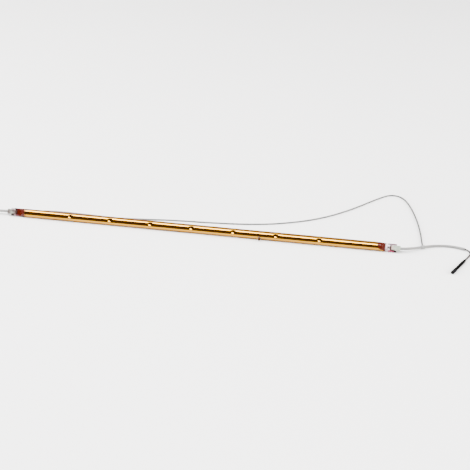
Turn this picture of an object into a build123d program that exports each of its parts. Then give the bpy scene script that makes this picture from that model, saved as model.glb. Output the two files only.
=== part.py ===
from build123d import *
import os
from math import cos, radians, sin, tan

# A quartz infrared heating tube with a gold reflector coat, lying on a floor, in millimetres.
# X runs along the tube, Y away from the viewer and Z up. The floor is at Z = 0.
# Both leads come out at the right end: the left one runs back behind the tube.

# Quartz body
body_diameter = 10.0
body_wall = 1.0
body_length = 438.0
shoulder_length = 6.0
gas_cone_start = 1.0
gas_cone_stop = 2.5

# Pressed seals, which lean back to face the viewer
seal_lean = 28.0
seal_length = 12.3
seal_width = 9.6
seal_web = 1.9
rib_width = 1.55
rib_depth = 3.0
rib_round = 0.75
jaw_start = 0.9
jaw_round = 0.8
seal_sag = {"left": 0.0, "right": 0.35}

# Dents that hold the filament supports, three to a station
support_count = 7
support_pitch = 51.0
support_middle = -4.9
dents_per_support = 3
dent_angle = 37.0
dent_depth = 1.0
dent_ball = 6.0

# Exhaust tip, where the body was pumped and sealed
pip_x = 77.9
pip_angle = -20.0
pip_height = 4.2
pip_root_radius = 1.6
pip_root_depth = 0.6
pip_edge_depth = 0.2
pip_waist_radius = 1.15
pip_waist_height = 0.9
pip_nose_radius = 0.8
pip_nose_height = 3.2

# Gold reflector coat
coat_thickness = 0.08
coat_wrap = 215.0
coat_margin = 0.5
coat_end_lean = {"left": 0.0, "right": 18.0}
coat_pip_clearance = 0.4

# Filament, supports and current path
coil_diameter = 2.2
coil_margin = 14.0
leg_diameter = 0.5
support_wire = 0.4
support_hub_wall = 0.33
support_spokes = 3
foil_start = 1.5
foil_length = 8.0
foil_width = 3.0
foil_thickness = 0.12
pin_diameter = 0.7
pin_reach = 2.1
core_diameter = 1.0
crimp_diameter = 1.9
crimp_length = 2.4
crimp_start = 1.0
fit_gap = 0.02

# Ceramic end caps and their cement
cap_length = 11.5
cap_rib_gap = 0.1
cap_depth = 6.0
cap_grip = 7.3
cap_inner_round = 2.9
cap_outer_round = 0.7
cap_edge = 0.35
cap_hole = 2.6
cement_layer = 0.3
cement_bead = 0.5
cement_inset = 0.35

# Leads, sleeves and tail
sleeve_diameter = 3.2
lead_diameter = 1.8
wire_diameter = 1.0
wire_spacing = 1.1
arc_share = 0.45
collar_diameter = 4.1
collar_length = 5.0
collar_place = 0.48
collar_round = 0.5
spout_diameter = 2.5
spout_length = 3.0
boot_length = 15.0
boot_start_diameter = 2.9
boot_belly_diameter = 3.45
boot_belly_place = 3.75
boot_taper_diameter = 3.5
boot_taper_place = 9.0
boot_waist_diameter = 3.4
jacket_length = 11.0
jacket_diameter = 3.4
jacket_round = 0.25
housing_length = 8.5
housing_width = 3.3
housing_height = 2.6
housing_edge = 0.25
pocket_size = 0.95
pocket_spacing = 1.5
pocket_depth = 6.0
contact_size = 0.8
contact_bore = 0.5
contact_length = 4.6
contact_wire_stop = 1.0
wire_bore_gap = 0.1

# Hand-chosen points along the middle of each cord
left_sleeve_route = [
    (-241.5, 0, 5), (-252.5, 0, 5), (-263.5, -0.8, 3.7), (-272.5, -2, 2.2),
]
return_route = [
    (-272.5, -2, 2.2), (-280.3, -3.04, 0.9), (-292, -3.2, 0.9), (-303, 1.5, 0.9),
    (-310, 11, 0.9), (-308.5, 22.5, 0.9), (-299.5, 29.5, 0.9), (-288.5, 27.5, 0.9),
    (-279.5, 20, 0.9), (-270.5, 11, 0.9), (-260, 7, 0.9), (-246, 8, 0.9),
    (-230, 10.4, 0.9), (-211, 15.2, 0.9), (-193, 18.6, 0.9), (-172, 19, 0.9), (-140, 18, 0.9),
    (-104, 16.6, 0.9), (-72, 19.8, 0.9), (-36, 24.6, 0.9), (6, 26.8, 0.9),
    (46, 30.3, 0.9), (80, 36.7, 0.9), (107, 46.6, 0.9), (132, 58.8, 0.9), (157, 77, 0.9),
    (181, 101.5, 0.9), (202, 127.5, 0.9), (214, 141.5, 0.9), (222, 149.5, 0.9),
    (231, 152, 0.9), (239, 148, 0.9), (245.5, 138.5, 0.9), (251, 123, 0.9),
    (256.8, 100, 0.9), (261.6, 73, 0.9), (264.5, 48, 0.9), (265.88, 27.2, 0.9),
    (266.55, 16.93, 1.85),
]
lead_sleeve_route = [
    (241.5, -0.16, 4.69), (246.1, -0.16, 4.69), (252.8, 2.6, 4.6), (259.6, 8.3, 2.8),
    (274.6, 18.4, 1.6), (284.5, 21.3, 1.6), (295.5, 22.8, 1.6), (306.3, 21.6, 1.6),
    (314.4, 18.6, 1.6),
]
red_route = [
    (314.59, 19.12, 1.6), (319.05, 17.47, 1.4), (321.18, 10.5, 1), (318.82, 2.81, 1),
    (315.1, -5.82, 1.8), (302.52, -31.97, 1.8),
]
black_route = [
    (314.21, 18.08, 1.6), (318.15, 16.63, 1.4), (320.02, 10.5, 1), (317.78, 3.19, 1),
    (314.1, -5.37, 1.8), (301.53, -31.49, 1.8),
]
tail_start = Vector(313.3, -8.3, 1.8)
tail_heading = -115.7

# Places that follow from the sizes above
body_radius = body_diameter / 2
bore_radius = body_radius - body_wall
axis_height = body_radius
body_half = body_length / 2
shoulder_end = body_half + shoulder_length
seal_end = shoulder_end + seal_length
cap_start = seal_end - cap_grip
cap_end = cap_start + cap_length
slot_end = seal_end + cement_layer
foil_from = shoulder_end + foil_start
foil_to = foil_from + foil_length
pin_end = seal_end + pin_reach
crimp_from = seal_end + crimp_start
web_half_width = seal_width / 2 - rib_width
cap_height = 2 * (web_half_width - cap_rib_gap)
pip_reach = body_radius + pip_height
coat_half = body_half - coat_margin
coil_half = body_half - coil_margin
ends = {"left": -1, "right": 1}
floor_to_tube = Vector(0, 0, axis_height)
along_tube = Vector(1, 0, 0)
to_viewer = Vector(0, -cos(radians(seal_lean)), sin(radians(seal_lean)))
up_seal = Vector(0, sin(radians(seal_lean)), cos(radians(seal_lean)))


def cross_section(x, sag=0.0):
    # Square to the tube: its own x goes up the seal's width, its own y towards the viewer
    return Plane(
        origin=floor_to_tube + along_tube * x - up_seal * sag,
        x_dir=up_seal, z_dir=along_tube,
    )


def broad_face(height, sag=0.0):
    # Parallel to the seal's web and that high over its middle: x along the tube, y up its width
    return Plane(
        origin=floor_to_tube + to_viewer * height - up_seal * sag,
        x_dir=along_tube, z_dir=to_viewer,
    )


def outward(angle):
    # From the tube's axis, that many degrees above level on the viewer's side
    return Vector(0, -cos(radians(angle)), sin(radians(angle)))


def bend_radii(route):
    # Each corner's arc takes the same share of the shorter run beside it
    radii = []
    for before, corner, after in zip(route, route[1:], route[2:]):
        arriving = Vector(*corner) - Vector(*before)
        leaving = Vector(*after) - Vector(*corner)
        half_turn = radians(arriving.get_angle(leaving)) / 2
        radii.append(arc_share * min(arriving.length, leaving.length) / tan(half_turn))
    return radii


def cord_tube(name, route, diameter):
    # Straight runs joined by tangent arcs, with one round section swept along them
    with BuildPart() as cord:
        with BuildLine() as middle:
            FilletPolyline(*route, radius=bend_radii(route))
        first_run = Vector(*route[1]) - Vector(*route[0])
        with BuildSketch(Plane(origin=route[0], z_dir=first_run)) as section:
            Circle(diameter / 2)
        sweep(path=middle.wire())
    length = middle.wire().length
    ratio = cord.part.volume / (section.sketch.area * length)
    print(name, "length", round(length, 1), "volume share", round(ratio, 4))
    print("  radii", [round(r, 1) for r in bend_radii(route)])
    return cord


def export(name, piece):
    piece.part.label = name
    export_step(piece.part, f"parts/{name}.step")


os.makedirs("parts", exist_ok=True)

support_places = [
    support_middle + support_pitch * (i - (support_count - 1) / 2) for i in range(support_count)
]
dent_angles = [dent_angle + 360 * j / dents_per_support for j in range(dents_per_support)]
dent_centre = body_radius - dent_depth + dent_ball
dent_points = [
    floor_to_tube + along_tube * x + outward(angle) * dent_centre
    for x in support_places for angle in dent_angles
]
support_radius = dent_centre - dent_ball - body_wall - fit_gap

# The straight stretch of quartz, dented at each support
with BuildPart() as straight_body:
    with BuildSketch(cross_section(-body_half)):
        Circle(body_radius)
    extrude(amount=body_length)
    with Locations(*dent_points):
        Sphere(dent_ball, mode=Mode.SUBTRACT)

# The gas space inside: a bore with coned ends, and a bump behind each dent
gas_cone_from = body_half - gas_cone_start
gas_cone_to = shoulder_end - gas_cone_stop
with BuildPart() as gas_space:
    with BuildSketch(Plane(origin=floor_to_tube, x_dir=(1, 0, 0), z_dir=(0, -1, 0))):
        with BuildLine():
            Polyline(
                (-gas_cone_to, 0), (-gas_cone_from, bore_radius),
                (gas_cone_from, bore_radius), (gas_cone_to, 0), close=True,
            )
        make_face()
    revolve(axis=Axis(floor_to_tube, along_tube))
    with Locations(*dent_points):
        Sphere(dent_ball + body_wall, mode=Mode.SUBTRACT)

# The quartz envelope: body, shoulders, pressed seals and exhaust tip in one piece
pip_way = outward(pip_angle)
pip_foot = Vector(pip_x, 0, axis_height)
with BuildPart() as quartz_tube:
    add(straight_body.part)
    for end, side in ends.items():
        sag = seal_sag[end]
        # Shoulder, from the round body to the flat seal
        with BuildSketch(cross_section(side * body_half)):
            Circle(body_radius)
        with BuildSketch(cross_section(side * shoulder_end, sag)):
            RectangleRounded(seal_width, rib_depth, rib_round)
        loft()
        # Seal, pressed to a web between two ribs
        with BuildSketch(cross_section(side * shoulder_end, sag)):
            RectangleRounded(seal_width, rib_depth, rib_round)
        extrude(amount=side * seal_length)
        jaw_length = seal_length - jaw_start
        for face in (-1, 1):
            with BuildSketch(broad_face(face * seal_web / 2, sag)):
                with Locations((side * (shoulder_end + jaw_start + jaw_length), 0)):
                    RectangleRounded(2 * jaw_length, 2 * web_half_width, jaw_round)
            extrude(amount=face * rib_depth, mode=Mode.SUBTRACT)
    # Exhaust tip
    with BuildSketch(Plane(origin=pip_foot, x_dir=(1, 0, 0), z_dir=along_tube.cross(pip_way))):
        with BuildLine():
            pip_root = body_radius - pip_root_depth
            pip_edge = body_radius - pip_edge_depth
            Polyline(
                (0, pip_reach), (0, pip_root), (pip_root_radius, pip_root),
                (pip_root_radius, pip_edge),
            )
            Spline(
                (pip_root_radius, pip_edge),
                (pip_waist_radius, body_radius + pip_waist_height),
                (pip_nose_radius, body_radius + pip_nose_height),
                (0, pip_reach),
                tangents=((-1, 1), (-1, 0)),
            )
        make_face()
    revolve(axis=Axis(pip_foot, pip_way))
    # Inside: gas space, filament legs, foils and outer pins
    add(gas_space.part, mode=Mode.SUBTRACT)
    for end, side in ends.items():
        sag = seal_sag[end]
        with BuildSketch(cross_section(side * body_half)):
            Circle(leg_diameter / 2 + fit_gap)
        extrude(amount=side * (foil_from - body_half), mode=Mode.SUBTRACT)
        with BuildSketch(cross_section(side * (foil_from - fit_gap), sag)):
            Rectangle(foil_width + 2 * fit_gap, foil_thickness + 2 * fit_gap)
        extrude(amount=side * (foil_length + 2 * fit_gap), mode=Mode.SUBTRACT)
        with BuildSketch(cross_section(side * foil_to, sag)):
            Circle(pin_diameter / 2 + fit_gap)
        extrude(amount=side * (seal_end - foil_to), mode=Mode.SUBTRACT)
export("quartz_tube", quartz_tube)

# The gold coat on the viewer's side, which leaves the back clear and goes round the exhaust tip
coat_radius = body_radius + coat_thickness
window_edge = radians(180 - coat_wrap / 2)
cutter_reach = 3 * coat_radius
with BuildPart() as gold_reflector:
    with BuildSketch(cross_section(-coat_half)):
        Circle(coat_radius)
    extrude(amount=2 * coat_half)
    with Locations(*dent_points):
        Sphere(dent_ball - coat_thickness, mode=Mode.SUBTRACT)
    add(straight_body.part, mode=Mode.SUBTRACT)
    with BuildSketch(cross_section(-body_half)):
        with BuildLine():
            edge_x = cutter_reach * sin(window_edge)
            edge_y = -cutter_reach * cos(window_edge)
            Polyline(
                (0, 0), (-edge_x, edge_y), (-edge_x, -cutter_reach),
                (edge_x, -cutter_reach), (edge_x, edge_y), close=True,
            )
        make_face()
    extrude(amount=body_length, mode=Mode.SUBTRACT)
    for end, side in ends.items():
        lean = radians(coat_end_lean[end])
        cut_foot = coat_half - body_radius * tan(lean)
        with BuildSketch(Plane(origin=floor_to_tube, x_dir=(1, 0, 0), z_dir=(0, -1, 0))):
            with BuildLine():
                slope = cutter_reach * tan(lean)
                Polyline(
                    (side * (cut_foot + slope), -cutter_reach),
                    (side * (cut_foot - slope), cutter_reach),
                    (side * (cut_foot + cutter_reach), cutter_reach),
                    (side * (cut_foot + cutter_reach), -cutter_reach),
                    close=True,
                )
            make_face()
        extrude(amount=cutter_reach, both=True, mode=Mode.SUBTRACT)
    with BuildSketch(Plane(origin=pip_foot, z_dir=pip_way)):
        Circle(pip_root_radius + coat_pip_clearance)
    extrude(amount=pip_reach, mode=Mode.SUBTRACT)
export("gold_reflector", gold_reflector)

# The filament: the outer form of its coil, with a straight leg into each seal
with BuildPart() as filament:
    with BuildSketch(Plane(origin=floor_to_tube, x_dir=(1, 0, 0), z_dir=(0, -1, 0))):
        with BuildLine():
            leg_radius = leg_diameter / 2
            Polyline(
                (-foil_from, 0), (-foil_from, leg_radius), (-coil_half, leg_radius),
                (-coil_half, coil_diameter / 2), (coil_half, coil_diameter / 2),
                (coil_half, leg_radius), (foil_from, leg_radius), (foil_from, 0), close=True,
            )
        make_face()
    revolve(axis=Axis(floor_to_tube, along_tube))
export("filament", filament)

# A wire spider at each station: a hub round the coil and a rim between the dents
first_spoke = 90 + seal_lean - dent_angle
for number, x in enumerate(support_places, start=1):
    hub_radius = coil_diameter / 2 + fit_gap
    with BuildPart() as support:
        with BuildSketch(cross_section(x - support_wire / 2)):
            Circle(support_radius)
            Circle(support_radius - support_wire, mode=Mode.SUBTRACT)
            with PolarLocations(0, support_spokes, start_angle=first_spoke):
                Rectangle(
                    support_radius - support_wire / 2, support_wire,
                    align=(Align.MIN, Align.CENTER),
                )
            Circle(hub_radius + support_hub_wall)
            Circle(hub_radius, mode=Mode.SUBTRACT)
        extrude(amount=support_wire)
    export(f"filament_support_{number}", support)

# What each end carries, from the seal outwards
for end, side in ends.items():
    sag = seal_sag[end]

    # Foil, sealed in the web
    with BuildPart() as foil:
        with BuildSketch(cross_section(side * foil_from, sag)):
            Rectangle(foil_width, foil_thickness)
        extrude(amount=side * foil_length)
    export(f"foil_{end}", foil)

    # Outer pin, from the foil into the crimp
    with BuildPart() as pin:
        with BuildSketch(cross_section(side * foil_to, sag)):
            Circle(pin_diameter / 2)
        extrude(amount=side * (pin_end - foil_to))
    export(f"pin_{end}", pin)

    # Bare end of the lead, which meets the pin inside the crimp
    with BuildPart() as core:
        with BuildSketch(cross_section(side * pin_end, sag)):
            Circle(core_diameter / 2)
        extrude(amount=side * (cap_end - pin_end))
    export(f"lead_core_{end}", core)

    # Crimp, bored to suit the pin on one side and the lead on the other
    with BuildPart() as crimp:
        with BuildSketch(cross_section(side * crimp_from, sag)):
            Circle(crimp_diameter / 2)
            Circle(pin_diameter / 2 + fit_gap, mode=Mode.SUBTRACT)
        extrude(amount=side * crimp_length)
        with BuildSketch(cross_section(side * pin_end, sag)):
            Circle(core_diameter / 2 + fit_gap)
        extrude(amount=side * crimp_length, mode=Mode.SUBTRACT)
    export(f"crimp_{end}", crimp)

    # Ceramic cap: a block with a round nose, slotted for the seal's web and bored for the lead
    slot_depth = slot_end - cap_start
    slot_width = seal_web + 2 * cement_layer
    with BuildPart() as cap:
        with BuildSketch(broad_face(-cap_depth / 2, sag)) as outline:
            with Locations((side * (cap_start + cap_length / 2), 0)):
                Rectangle(cap_length, cap_height)
            corners = outline.vertices().sort_by(Axis(floor_to_tube, along_tube * side))
            fillet(corners[:2], cap_inner_round)
            corners = outline.vertices().sort_by(Axis(floor_to_tube, along_tube * side))
            fillet(corners[-2:], cap_outer_round)
        extrude(amount=cap_depth)
        broad = faces().sort_by(Axis(floor_to_tube, to_viewer))
        fillet(broad[0].edges() + broad[-1].edges(), cap_edge)
        with BuildSketch(cross_section(side * (cap_start - cap_grip), sag)):
            Rectangle(2 * cap_height, slot_width)
        extrude(amount=side * (cap_grip + slot_depth), mode=Mode.SUBTRACT)
        with BuildSketch(cross_section(side * slot_end, sag)):
            Circle(cap_hole / 2)
        extrude(amount=side * cap_length, mode=Mode.SUBTRACT)
    export(f"cap_{end}", cap)

    # Cement that fills the slot round the web's end
    cement_from = cap_start - cement_bead
    with BuildPart() as cement:
        with BuildSketch(cross_section(side * cement_from, sag)):
            Rectangle(cap_height - 2 * cement_inset, slot_width)
        extrude(amount=side * (slot_end - cement_from))
        with BuildSketch(cross_section(side * (cement_from - cap_grip), sag)):
            Rectangle(2 * cap_height, seal_web)
        extrude(amount=side * (seal_end - cement_from + cap_grip), mode=Mode.SUBTRACT)
        with BuildSketch(cross_section(side * seal_end, sag)):
            Circle(pin_diameter / 2 + fit_gap)
        extrude(amount=side * cement_layer, mode=Mode.SUBTRACT)
    export(f"cement_{end}", cement)

# Cords
export("sleeve_left", cord_tube("sleeve_left", left_sleeve_route, sleeve_diameter))
export("return_lead", cord_tube("return_lead", return_route, lead_diameter))
export("lead_sleeve", cord_tube("lead_sleeve", lead_sleeve_route, sleeve_diameter))
export("red_wire", cord_tube("red_wire", red_route, wire_diameter))
export("black_wire", cord_tube("black_wire", black_route, wire_diameter))

# Collar on the sleeve, with a spout where the return lead goes in
run_from, run_to = Vector(*lead_sleeve_route[3]), Vector(*lead_sleeve_route[4])
collar_way = (run_to - run_from).normalized()
collar_middle = run_from + (run_to - run_from) * collar_place
spout_mouth = Vector(*return_route[-1])
spout_way = (spout_mouth - Vector(*return_route[-2])).normalized()
with BuildPart() as joint_collar:
    with BuildSketch(Plane(origin=collar_middle, z_dir=collar_way)):
        Circle(collar_diameter / 2)
    extrude(amount=collar_length / 2, both=True)
    fillet(edges().filter_by(GeomType.CIRCLE), collar_round)
    with BuildSketch(Plane(origin=spout_mouth, z_dir=spout_way)):
        Circle(spout_diameter / 2)
    extrude(amount=spout_length)
    with BuildSketch(Plane(origin=collar_middle, z_dir=collar_way)):
        Circle(sleeve_diameter / 2 + fit_gap)
    extrude(amount=collar_length, both=True, mode=Mode.SUBTRACT)
export("joint_collar", joint_collar)

# The tail: everything on one straight axis, low over the floor
tail_way = Vector(cos(radians(tail_heading)), sin(radians(tail_heading)), 0)
tail_left = Vector(-tail_way.Y, tail_way.X, 0)
jacket_from = boot_length
housing_from = jacket_from + jacket_length
wire_slot = (wire_spacing + wire_diameter + wire_bore_gap, wire_diameter + wire_bore_gap)


def tail_section(distance):
    # Square to the tail's axis, that far along it: its own x goes across, its own y up
    return Plane(origin=tail_start + tail_way * distance, x_dir=tail_left, z_dir=tail_way)


# Shrunk boot over the two wires
with BuildPart() as tail_boot:
    with BuildSketch(Plane(origin=tail_start, x_dir=tail_way, z_dir=(0, 0, 1))):
        with BuildLine():
            Spline(
                (0, boot_start_diameter / 2),
                (boot_belly_place, boot_belly_diameter / 2),
                (boot_taper_place, boot_taper_diameter / 2),
                (boot_length, boot_waist_diameter / 2),
            )
            Polyline(
                (boot_length, boot_waist_diameter / 2), (boot_length, 0), (0, 0),
                (0, boot_start_diameter / 2),
            )
        make_face()
    revolve(axis=Axis(tail_start, tail_way))
    with BuildSketch(tail_section(0)):
        SlotOverall(*wire_slot)
    extrude(amount=boot_length, mode=Mode.SUBTRACT)
export("tail_boot", tail_boot)

# Shrunk jacket from the boot to the connector
with BuildPart() as tail_jacket:
    with BuildSketch(tail_section(jacket_from)):
        Circle(jacket_diameter / 2)
    extrude(amount=jacket_length)
    fillet(edges().filter_by(GeomType.CIRCLE), jacket_round)
    with BuildSketch(tail_section(jacket_from)):
        SlotOverall(*wire_slot)
    extrude(amount=jacket_length, mode=Mode.SUBTRACT)
export("tail_jacket", tail_jacket)

# Two-way connector housing, open at its far end
with BuildPart() as connector_housing:
    with BuildSketch(tail_section(housing_from)):
        Rectangle(housing_width, housing_height)
    extrude(amount=housing_length)
    chamfer(edges(), housing_edge)
    with BuildSketch(tail_section(housing_from + housing_length)):
        with GridLocations(pocket_spacing, 0, 2, 1):
            Rectangle(pocket_size, pocket_size)
    extrude(amount=-pocket_depth, mode=Mode.SUBTRACT)
export("connector_housing", connector_housing)

# A socket contact at the bottom of each pocket
contact_from = housing_from + housing_length - pocket_depth
for number, place in enumerate((-pocket_spacing / 2, pocket_spacing / 2), start=1):
    with BuildPart() as contact:
        with BuildSketch(tail_section(contact_from)):
            with Locations((place, 0)):
                Rectangle(contact_size, contact_size)
        extrude(amount=contact_length)
        with BuildSketch(tail_section(contact_from + contact_wire_stop)):
            with Locations((place, 0)):
                Rectangle(contact_bore, contact_bore)
        extrude(amount=contact_length, mode=Mode.SUBTRACT)
    export(f"contact_{number}", contact)
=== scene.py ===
from math import cos, hypot, pi, radians, sin, tan, tau

import bmesh
import bpy
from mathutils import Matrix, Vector


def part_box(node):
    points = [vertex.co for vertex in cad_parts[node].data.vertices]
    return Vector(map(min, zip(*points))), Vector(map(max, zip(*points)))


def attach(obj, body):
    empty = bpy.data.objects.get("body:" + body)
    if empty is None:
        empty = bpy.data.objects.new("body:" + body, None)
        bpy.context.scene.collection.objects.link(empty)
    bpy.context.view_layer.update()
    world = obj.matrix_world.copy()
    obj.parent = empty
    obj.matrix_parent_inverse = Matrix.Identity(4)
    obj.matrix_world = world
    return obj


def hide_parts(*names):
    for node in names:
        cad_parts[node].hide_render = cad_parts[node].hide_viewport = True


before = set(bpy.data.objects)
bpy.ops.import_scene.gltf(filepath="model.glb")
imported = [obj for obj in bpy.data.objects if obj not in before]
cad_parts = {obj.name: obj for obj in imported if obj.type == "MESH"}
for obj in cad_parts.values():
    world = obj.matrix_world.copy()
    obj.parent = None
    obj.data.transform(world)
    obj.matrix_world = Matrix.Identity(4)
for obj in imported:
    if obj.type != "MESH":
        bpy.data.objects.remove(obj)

# Dresses a quartz infrared heating tube with a gold reflector coat, lying on a studio floor.
# Metres throughout. X runs along the tube, Y away from the viewer and Z up.

bl_info = {
    "name": "Quartz Heating Tube",
    "version": (1, 0, 0),
    "blender": (4, 5, 0),
    "location": "3D View > Sidebar > Heating Tube",
    "description": "Dresses a quartz heating tube piece by piece and sets a studio round it",
    "category": "Add Mesh",
}

MM = 0.001
QUARTZ_IOR = 1.458
BODY = "root"

# Places read from the frame
AXIS_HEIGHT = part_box("quartz_tube")[1].z / 2
SEAL_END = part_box("quartz_tube")[1].x
COAT_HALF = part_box("gold_reflector")[1].x
LEG_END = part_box("filament")[1].x
CAP_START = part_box("cap_right")[0].x
FIRST_STATION, LAST_STATION = (
    (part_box(support)[0].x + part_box(support)[1].x) / 2
    for support in ("filament_support_1", "filament_support_7")
)

# Points along the middle of each cord, in millimetres
LEFT_SLEEVE_ROUTE = [
    (-241.5, 0, 5), (-252.5, 0, 5), (-263.5, -0.8, 3.7), (-272.5, -2, 2.2),
]
RETURN_ROUTE = [
    (-272.5, -2, 2.2), (-280.3, -3.04, 0.9), (-292, -3.2, 0.9), (-303, 1.5, 0.9),
    (-310, 11, 0.9), (-308.5, 22.5, 0.9), (-299.5, 29.5, 0.9), (-288.5, 27.5, 0.9),
    (-279.5, 20, 0.9), (-270.5, 11, 0.9), (-260, 7, 0.9), (-246, 8, 0.9),
    (-230, 10.4, 0.9), (-211, 15.2, 0.9), (-193, 18.6, 0.9), (-172, 19, 0.9), (-140, 18, 0.9),
    (-104, 16.6, 0.9), (-72, 19.8, 0.9), (-36, 24.6, 0.9), (6, 26.8, 0.9),
    (46, 30.3, 0.9), (80, 36.7, 0.9), (107, 46.6, 0.9), (132, 58.8, 0.9), (157, 77, 0.9),
    (181, 101.5, 0.9), (202, 127.5, 0.9), (214, 141.5, 0.9), (222, 149.5, 0.9),
    (231, 152, 0.9), (239, 148, 0.9), (245.5, 138.5, 0.9), (251, 123, 0.9),
    (256.8, 100, 0.9), (261.6, 73, 0.9), (264.5, 48, 0.9), (265.88, 27.2, 0.9),
    (266.55, 16.93, 1.85),
]
LEAD_SLEEVE_ROUTE = [
    (241.5, -0.16, 4.69), (246.1, -0.16, 4.69), (252.8, 2.6, 4.6), (259.6, 8.3, 2.8),
    (274.6, 18.4, 1.6), (284.5, 21.3, 1.6), (295.5, 22.8, 1.6), (306.3, 21.6, 1.6),
    (314.4, 18.6, 1.6),
]
RED_ROUTE = [
    (314.59, 19.12, 1.6), (319.05, 17.47, 1.4), (321.18, 10.5, 1), (318.82, 2.81, 1),
    (315.1, -5.82, 1.8), (302.52, -31.97, 1.8),
]
BLACK_ROUTE = [
    (314.21, 18.08, 1.6), (318.15, 16.63, 1.4), (320.02, 10.5, 1), (317.78, 3.19, 1),
    (314.1, -5.37, 1.8), (301.53, -31.49, 1.8),
]

# Dark spots painted near the ends of the seals' ribs, in millimetres: place along the tube,
# height up the seal from its middle, and radius
RIB_END_SPOTS = ((235.6, -4.2, 1.4), (-231.2, 4.2, 1.6), (-235.4, -4.2, 1.7))


def length(name, description, default):
    return bpy.props.FloatProperty(
        name=name, description=description, default=default, min=0, unit="LENGTH", precision=5,
    )


def place(name, description, default):
    return bpy.props.FloatProperty(
        name=name, description=description, default=default, unit="LENGTH", precision=5,
    )


def angle(name, description, degrees):
    return bpy.props.FloatProperty(
        name=name, description=description, default=radians(degrees), unit="ROTATION",
    )


def share(name, description, default):
    return bpy.props.FloatProperty(
        name=name, description=description, default=default, min=0, max=1, subtype="FACTOR",
    )


def number(name, description, default):
    return bpy.props.IntProperty(name=name, description=description, default=default, min=1)


def colour(name, description, default):
    return bpy.props.FloatVectorProperty(
        name=name, description=description, default=default, size=3, min=0, max=1,
        subtype="COLOR",
    )


class TubeShape(bpy.types.PropertyGroup):
    """Sizes of the quartz envelope and its coat"""
    body_radius: length("Body radius", "Outside radius of the straight quartz body", AXIS_HEIGHT)
    wall: length("Wall", "Thickness of the quartz wall", 1.0 * MM)
    body_half: length("Body half length", "From the middle to the start of a shoulder", 219 * MM)
    shoulder: length("Shoulder", "Length over which the body flattens to the seal", 6 * MM)
    gas_end: length("Gas space end", "Where the gas space closes to a point", 222.5 * MM)
    gas_cone: length("Gas space cone", "Where the bore starts to close", 218 * MM)
    seal_lean: angle("Seal lean", "How far the seals lean back from upright", 28)
    seal_width: length("Seal width", "Across both ribs", 9.6 * MM)
    rib_depth: length("Rib depth", "Thickness of the seal over its ribs", 3.0 * MM)
    rib_round: length("Rib rounding", "Radius of the ribs' outer corners", 0.75 * MM)
    rib_width: length("Rib width", "Width of each rib", 1.55 * MM)
    web: length("Web", "Thickness of the pressed web between the ribs", 1.9 * MM)
    jaw_start: length("Jaw start", "From the shoulder's end to the pressed pocket", 0.9 * MM)
    jaw_round: length("Jaw rounding", "Corner radius of the pressed pocket", 0.8 * MM)
    right_sag: length("Right sag", "How far the right seal was pressed below the axis", 0.35 * MM)
    dents: number("Dents", "Dents round the tube at each support", 3)
    dent_angle: angle("Dent angle", "Angle of the first dent above level", 37)
    dent_depth: length("Dent depth", "How deep each dent is pressed", 1.0 * MM)
    dent_ball: length("Dent ball", "Radius of the ball that fits a dent", 6.0 * MM)
    dent_soften: length("Dent softening", "Rounding of the dents' edges", 0.25 * MM)
    coat: length("Coat", "Thickness that the coat stands proud", 0.08 * MM)
    coat_from: angle("Coat lower edge", "Angle of the coat's lower edge above level", -79.5)
    coat_to: angle("Coat upper edge", "Angle of the coat's upper edge above level", 135.5)
    coat_lean: angle("Coat end lean", "Slope of the coat's right end", 18)
    ruby_overlap: length("Ruby overlap", "How far the ruby film runs under the coat", 4.5 * MM)
    ruby_left: length("Left ruby", "Length of the left end's stained glass", 36 * MM)
    ruby_right: length("Right ruby", "Length of the right end's stained glass", 23 * MM)
    rib_stain: length("Rib stain", "Where the ribs' stain starts", 227 * MM)
    gold_run: length("Gold run", "Height of the gold that runs on to the shoulder", 4.0 * MM)
    pip_x: place("Tip place", "Where the exhaust tip stands along the tube", 77.9 * MM)
    pip_angle: angle("Tip angle", "Angle of the exhaust tip above level", -20)
    pip_height: length("Tip height", "How far the exhaust tip stands out", 4.2 * MM)
    pip_radius: length("Tip radius", "Radius of the exhaust tip's foot", 1.6 * MM)
    pip_clear: length("Tip clearance", "Bare ring round the exhaust tip", 0.4 * MM)
    columns: number("Columns", "Mesh columns round the tube", 128)


class FilamentShape(bpy.types.PropertyGroup):
    """Sizes of the filament coil and of the wires that hold it"""
    coil_radius: length("Coil radius", "Outside radius of the coil", 1.1 * MM)
    coil_half: length("Coil half length", "From the middle to the coil's last turn", 205 * MM)
    wire: length("Wire", "Radius of the filament wire", 0.2 * MM)
    pitch: length("Pitch", "Distance from one turn to the next", 1.05 * MM)
    steps: number("Steps", "Mesh steps in one turn", 12)
    taper: length("Taper", "Length over which the last turns close in", 1.6 * MM)
    stations: number("Stations", "Number of filament supports", 7)
    hub: length("Hub radius", "Inside radius of each support's spiral", 1.3 * MM)
    rim: length("Rim radius", "Outside radius of each support's spiral", 2.78 * MM)
    support_wire: length("Support wire", "Radius of the support wire", 0.2 * MM)


class LeadShape(bpy.types.PropertyGroup):
    """Sizes of the leads, their sleeves and the tail"""
    sleeve: length("Sleeve", "Diameter of the woven sleeves", 3.2 * MM)
    sleeve_slim: share("Slim part", "Share of its diameter that a drawn sleeve keeps", 0.90)
    lead: length("Lead", "Diameter of the insulated lead", 1.8 * MM)
    wire: length("Wire", "Diameter of the tail's two wires", 1.0 * MM)
    fray: length("Fray", "Length of the loose fibres at a sleeve's open end", 1.3 * MM)
    fibres: number("Fibres", "Loose fibres at each open end", 34)


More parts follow.
